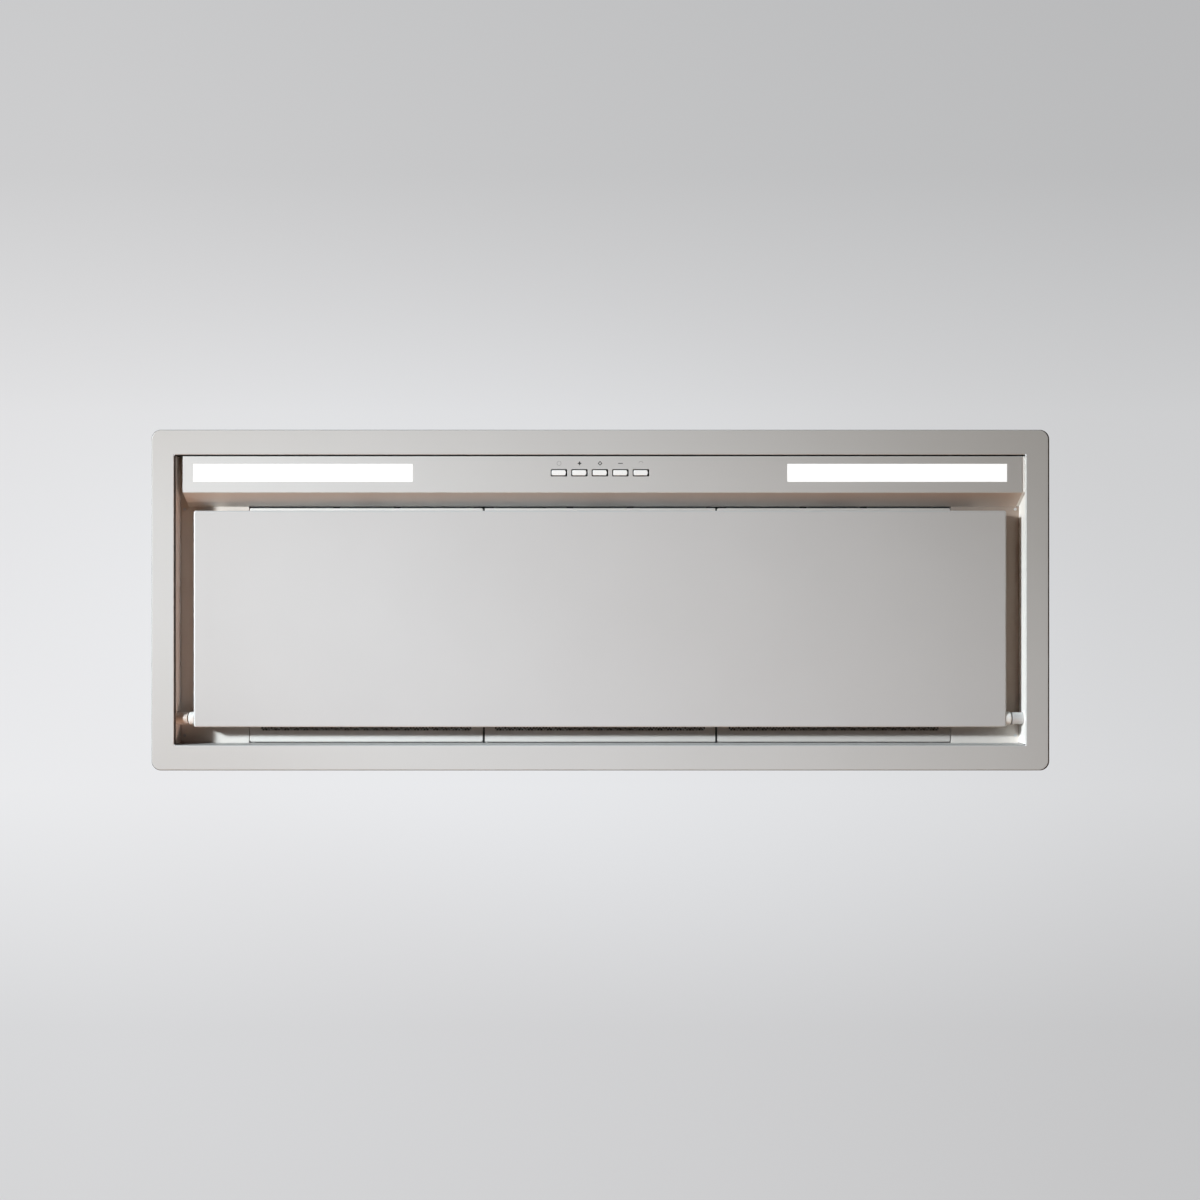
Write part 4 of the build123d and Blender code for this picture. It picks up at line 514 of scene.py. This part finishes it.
def fine_mesh(name):
    """Layers of fine aluminium mesh: bright crossing strands over dark gaps."""
    material, tree, shader = start_finish(name)
    where = put(tree, "TexCoord")
    weave = {"Scale": 95.0, "Distortion": 0.6, "Detail": 1.0, "Detail Scale": 3.0}
    strands = []
    for turn in (0.5, -0.5):
        drawn = put(tree, "Mapping", {"Rotation": (0, 0, turn)})
        wave = put(tree, "TexWave", weave)
        tree.links.new(where.outputs["Object"], drawn.inputs["Vector"])
        tree.links.new(drawn.outputs["Vector"], wave.inputs["Vector"])
        strands.append(wave.outputs["Fac"])
    over = reckon(tree, "MAXIMUM", *strands)
    metal_share = spread(tree, over, 0.0, 1.0, 0.55, 0.8)
    tone = blend(tree, metal_share, linear(62, 60, 57), linear(196, 195, 192))
    tree.links.new(tone, shader.inputs["Base Color"])
    tree.links.new(spread(tree, metal_share, 0.65, 0.34, 0, 1), shader.inputs["Roughness"])
    shader.inputs["Metallic"].default_value = 0.9
    relief(tree, shader, over, 0.25 * mm, 0.2 * mm)
    return material


dress(fine_mesh("pleated_mesh"), *[f"filter_mesh_{name}" for name in filter_names])

# Face sheets. Each filter's opening is covered by a sheet of expanded aluminium, whose strands run
# in zigzag rows that touch at their peaks, held level with the frame's folded border.
bright_aluminium = rolled_metal(
    "bright_aluminium", (190, 190, 189), (212, 212, 211), 0.34, edge=0.1 * mm
)
filter_border = 13.5 * mm
rear_tuck = 2.4 * mm
sheet_rise = 0.5 * mm
sheet_strand = 1.0 * mm
sheet_twist = 0.12 * mm
sheet_t = 0.35 * mm
cell_columns = 42
cell_rows = 52
for name in filter_names:
    frame_low, frame_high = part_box(f"filter_frame_{name}")
    left, right = frame_low.x + filter_border, frame_high.x - filter_border
    front, rear = frame_low.y + filter_border, frame_high.y - filter_border - rear_tuck
    sheet_z = frame_low.z + sheet_rise
    step_x = (right - left) / cell_columns
    step_y = (rear - front) / cell_rows
    shape = bmesh.new()
    for row in range(cell_rows):
        middle = front + (row + 0.5) * step_y
        pairs = []
        for column in range(cell_columns + 1):
            side = 1 if (column + row) % 2 else -1
            x = left + column * step_x
            y = middle + side * step_y / 2
            lower = shape.verts.new((x, y - sheet_strand / 2, sheet_z - side * sheet_twist))
            upper = shape.verts.new((x, y + sheet_strand / 2, sheet_z + side * sheet_twist))
            pairs.append((lower, upper))
        for (a, b), (c, d) in zip(pairs, pairs[1:]):
            shape.faces.new((a, b, d, c))
    sheet = make_piece(f"filter_face_sheet_{name}", shape, bright_aluminium)
    thicken = sheet.modifiers.new("thickness", "SOLIDIFY")
    thicken.thickness = sheet_t
    thicken.offset = 0
    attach(sheet, "hood")

# Casing, blower box and outlet plate. They are folded from galvanised sheet and screwed together
# over the skirt. Bent strips of spring steel, riveted to the casing's ends, hold it up in place.
dress(zinc_sheet, "casing", "blower_box", "outlet_plate")
dress(mill_aluminium, "rivets")
dress(zinc, "pan_screws")
spring_steel = rolled_metal("spring_steel", (150, 151, 155), (184, 185, 188), 0.25)
dress(spring_steel, "side_clips")

# Blower. A black enamelled motor sits in a zinc plated clamp, whose arms stand on rubber bushes
# against the galvanised scroll. Its bright ground shaft turns a zinc plated steel wheel.
motor_enamel = enamel("motor_enamel", (26, 26, 28), (36, 36, 38), 0.38)
bright_steel = rolled_metal("bright_steel", (196, 196, 198), (224, 224, 226), 0.22, lines=(1, 1, 1))
dress(zinc_sheet, "blower_scroll")
dress(motor_enamel, "motor")
dress(rubber, "motor_bushes")
dress(bright_steel, "motor_shaft")
dress(zinc, "motor_mount", "blower_wheel")

# Outlet. A dark moulded collar for the duct, screwed down on the outlet plate, with two moulded
# damper flaps that swing on one steel pin.
flap_plastic = moulded("flap_plastic", (38, 38, 40), (50, 50, 52), 0.4)
dress(dark_plastic, "outlet_collar")
dress(flap_plastic, "flap_rear", "flap_front")
dress(bright_steel, "flap_pin")

# Electrics. On the casing's top is a dark moulded terminal box with a nylon block in it and a
# cable gland. Under the top are a white capacitor in a zinc plated band and the lamps' driver.
pale_plastic = moulded("pale_plastic", (214, 214, 210), (224, 224, 220), 0.4)
dress(dark_plastic, "terminal_box", "terminal_cover", "cable_gland")
dress(nylon, "terminal_block")
dress(pale_plastic, "run_capacitor", "lamp_driver")
dress(zinc, "capacitor_band")

# Floor of the scene, which for a hood is a plain pale sheet round it. The flange stands a
# millimetre proud of it below. A second sheet over it shows from above, and its dark underside is
# painted shade in the joint.
board_low_z = 1.1 * mm
board_high_z = 1.3 * mm
board_half = 60.0
board_corner_r = 11 * mm
flange_shadow_gap = 1.1 * mm
trim_half_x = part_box("trim_frame")[1].x
trim_half_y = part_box("trim_frame")[1].y


def rounded_corners(low_x, low_y, high_x, high_y, radius, steps=12):
    """The four corners of a rounded rectangle, each a run of points, anticlockwise."""
    runs = []
    corners = ((high_x, high_y), (low_x, high_y), (low_x, low_y), (high_x, low_y))
    for quarter, (x, y) in enumerate(corners):
        centre_x = x - math.copysign(radius, x)
        centre_y = y - math.copysign(radius, y)
        turns = [math.pi / 2 * (quarter + i / steps) for i in range(steps + 1)]
        run = [(centre_x + radius * math.cos(t), centre_y + radius * math.sin(t)) for t in turns]
        runs.append(run)
    return runs


def board_sheet(name, z, low_x, low_y, high_x, high_y, material):
    """A wide flat sheet with a rounded hole in it."""
    shape = bmesh.new()
    runs = [
        [shape.verts.new((x, y, z)) for x, y in run]
        for run in rounded_corners(low_x, low_y, high_x, high_y, board_corner_r)
    ]
    far = [
        shape.verts.new((side_x * board_half, side_y * board_half, z))
        for side_x, side_y in ((1, 1), (-1, 1), (-1, -1), (1, -1))
    ]
    for i, run in enumerate(runs):
        after = (i + 1) % 4
        for a, b in zip(run, run[1:]):
            shape.faces.new((far[i], b, a))
        shape.faces.new((far[i], far[after], runs[after][0], run[-1]))
    bmesh.ops.recalc_face_normals(shape, faces=shape.faces)
    make_piece(name, shape, material)


# Floor seen from below. Most of its tone is painted light, a glow seen only by the camera, paler to
# the left and to the rear and deeper away from the hood as the lamps fall. The rest is matt paint
# that takes the hood's shadow.
below_paint, below_tree, below_shader = start_finish("board_below")
below_shader.inputs["Roughness"].default_value = 0.8
below_tone = blend(below_tree, grain(below_tree, 0.6), linear(226, 227, 229), linear(232, 233, 235))
below_tree.links.new(below_tone, below_shader.inputs["Base Color"])
painted_light_share = 0.8
left_to_right = spread(below_tree, place_on(below_tree, "X"), 0.0, 1.0, -0.6, 0.6)
front_to_rear = spread(below_tree, place_on(below_tree, "Y"), 0.94, 1.03, -0.25, 0.25)
from_middle = reckon(below_tree, "ABSOLUTE", place_on(below_tree, "Y"))
outwards = spread(below_tree, from_middle, 1.0, 0.8, 0.22, 0.5)
# Painted light: a glow seen only by the camera, paler to the left and rear as the lamps fall.
painted_light_tone = blend(below_tree, left_to_right, linear(227, 228, 230), linear(217, 218, 220))
painted_light_glow = put(below_tree, "Emission")
below_tree.links.new(painted_light_tone, painted_light_glow.inputs["Color"])
painted_light_strength = reckon(below_tree, "MULTIPLY", front_to_rear, outwards)
below_tree.links.new(painted_light_strength, painted_light_glow.inputs["Strength"])
seen = put(below_tree, "LightPath").outputs["Is Camera Ray"]
below_mix = put(below_tree, "MixShader")
below_tree.links.new(reckon(below_tree, "MULTIPLY", seen, painted_light_share), below_mix.inputs["Fac"])
below_tree.links.new(below_shader.outputs["BSDF"], below_mix.inputs[1])
below_tree.links.new(painted_light_glow.outputs["Emission"], below_mix.inputs[2])
below_end = below_tree.nodes["Material Output"].inputs["Surface"]
below_tree.links.new(below_mix.outputs["Shader"], below_end)
# The hole is wider to the right and rear, where the flange's shadow falls, so the dark underside
# shows there as painted shade.
board_sheet(
    "board_below",
    board_low_z,
    -trim_half_x - flange_shadow_gap / 3,
    -trim_half_y - flange_shadow_gap / 3,
    trim_half_x + 1.2 * flange_shadow_gap,
    trim_half_y + 0.6 * flange_shadow_gap,
    below_paint,
)

# Floor seen from above. The upper sheet is pale above, and dark below as painted shade, where it
# shows only in the joint round the flange as the flange's shadow.
above_paint, above_tree, above_shader = start_finish("board_above")
above_shader.inputs["Roughness"].default_value = 0.8
above_tone = blend(above_tree, grain(above_tree, 0.6), linear(222, 223, 225), linear(228, 229, 231))
# Painted shade: the dark underside stands in for the flange's shadow in the joint.
painted_shade_underside = put(above_tree, "NewGeometry").outputs["Backfacing"]
above_tree.links.new(
    blend(above_tree, painted_shade_underside, above_tone, linear(70, 60, 54)), above_shader.inputs["Base Color"]
)
board_sheet(
    "board_above",
    board_high_z,
    -trim_half_x,
    -trim_half_y,
    trim_half_x,
    trim_half_y,
    above_paint,
)

# Studio light. Below, a small far lamp to the left and in front gives clear shadows, with two
# narrower beams on the middle and the rear, a soft warm fill from the right and a warm glow from
# behind. Above, the sky is pale and two soft lamps light the casing.
world = bpy.data.worlds.new("studio")
bpy.context.scene.world = world
world.use_nodes = True
sky_tree = world.node_tree
sky = sky_tree.nodes["Background"]
glow_aim = Vector((0, 1, -0.35)).normalized()
glow_colour = (0.75, 0.45, 0.255, 1.0)
black = (0.0, 0.0, 0.0, 1.0)
towards_glow = put(sky_tree, "VectorMath", {1: glow_aim}, operation="DOT_PRODUCT")
sky_tree.links.new(put(sky_tree, "TexCoord").outputs["Generated"], towards_glow.inputs[0])
glow_side = reckon(sky_tree, "MAXIMUM", towards_glow.outputs["Value"], 0.0)
sky_below = blend(sky_tree, reckon(sky_tree, "POWER", glow_side, 3.0), black, glow_colour)
sky_above = linear(226, 227, 229)
horizon = spread(sky_tree, place_on(sky_tree, "Z", "Generated"), 0.0, 1.0, -0.035, -0.02)
sky_tree.links.new(blend(sky_tree, horizon, sky_below, sky_above), sky.inputs["Color"])
sky.inputs["Strength"].default_value = 1.0


def hang(light, name, place, aim):
    """Puts a lamp in its place, pointing at another."""
    holder = bpy.data.objects.new(name, light)
    holder.location = place
    holder.rotation_mode = "QUATERNION"
    holder.rotation_quaternion = (Vector(aim) - Vector(place)).to_track_quat("-Z", "Y")
    bpy.context.scene.collection.objects.link(holder)


def beam(name, place, aim, half_angle, radius, power, colour):
    """A lamp whose light falls off smoothly to the edge of a cone."""
    light = bpy.data.lights.new(name, "SPOT")
    light.spot_size = math.radians(2 * half_angle)
    light.spot_blend = 1.0
    light.shadow_soft_size = radius
    light.energy = power
    light.color = colour
    hang(light, name, place, aim)


def soft_lamp(name, place, aim, size, power):
    """A round soft white lamp that points at a place."""
    light = bpy.data.lights.new(name, "AREA")
    light.shape = "DISK"
    light.size = size
    light.energy = power
    hang(light, name, place, aim)


key_place = (-5.8, -1.9, -4.0)
casing_middle = (0, 0, 0.15)
beam("key", key_place, (0, 0.9, 0), 20, 0.4, 2770, (0.916, 0.98, 1.0))
beam("key_middle", key_place, (0, 0.05, 0), 3.4, 0.1, 1360, (0.77, 0.887, 1.0))
beam("key_rear", key_place, (-0.4, 0.3, 0), 4.5, 0.15, 532, (0.52, 0.79, 1.0))
beam("fill_right", (3.2, 2.6, -3.2), (-0.6, 0.12, 0), 8, 0.6, 700, (1.0, 0.686, 0.571))
soft_lamp("above_front", (-1.8, -2.4, 2.6), casing_middle, 1.0, 45)
soft_lamp("above_rear", (2.4, 2.2, 1.9), casing_middle, 1.4, 22)

# Camera. It is straight below the middle of the hood and two metres away, with the front at the
# top of the picture.
camera_drop = 2.0
picture_width = 1.4052
film_width = 36
lens_data = bpy.data.cameras.new("camera")
lens_data.sensor_width = film_width
lens_data.lens = film_width * camera_drop / picture_width
lens_data.clip_start = 0.05
lens_data.clip_end = 50
camera = bpy.data.objects.new("camera", lens_data)
camera.location = (0, 0, -camera_drop)
camera.rotation_euler = (math.pi, 0, 0)
bpy.context.scene.collection.objects.link(camera)
bpy.context.scene.camera = camera
bpy.context.scene.view_settings.view_transform = "Standard"
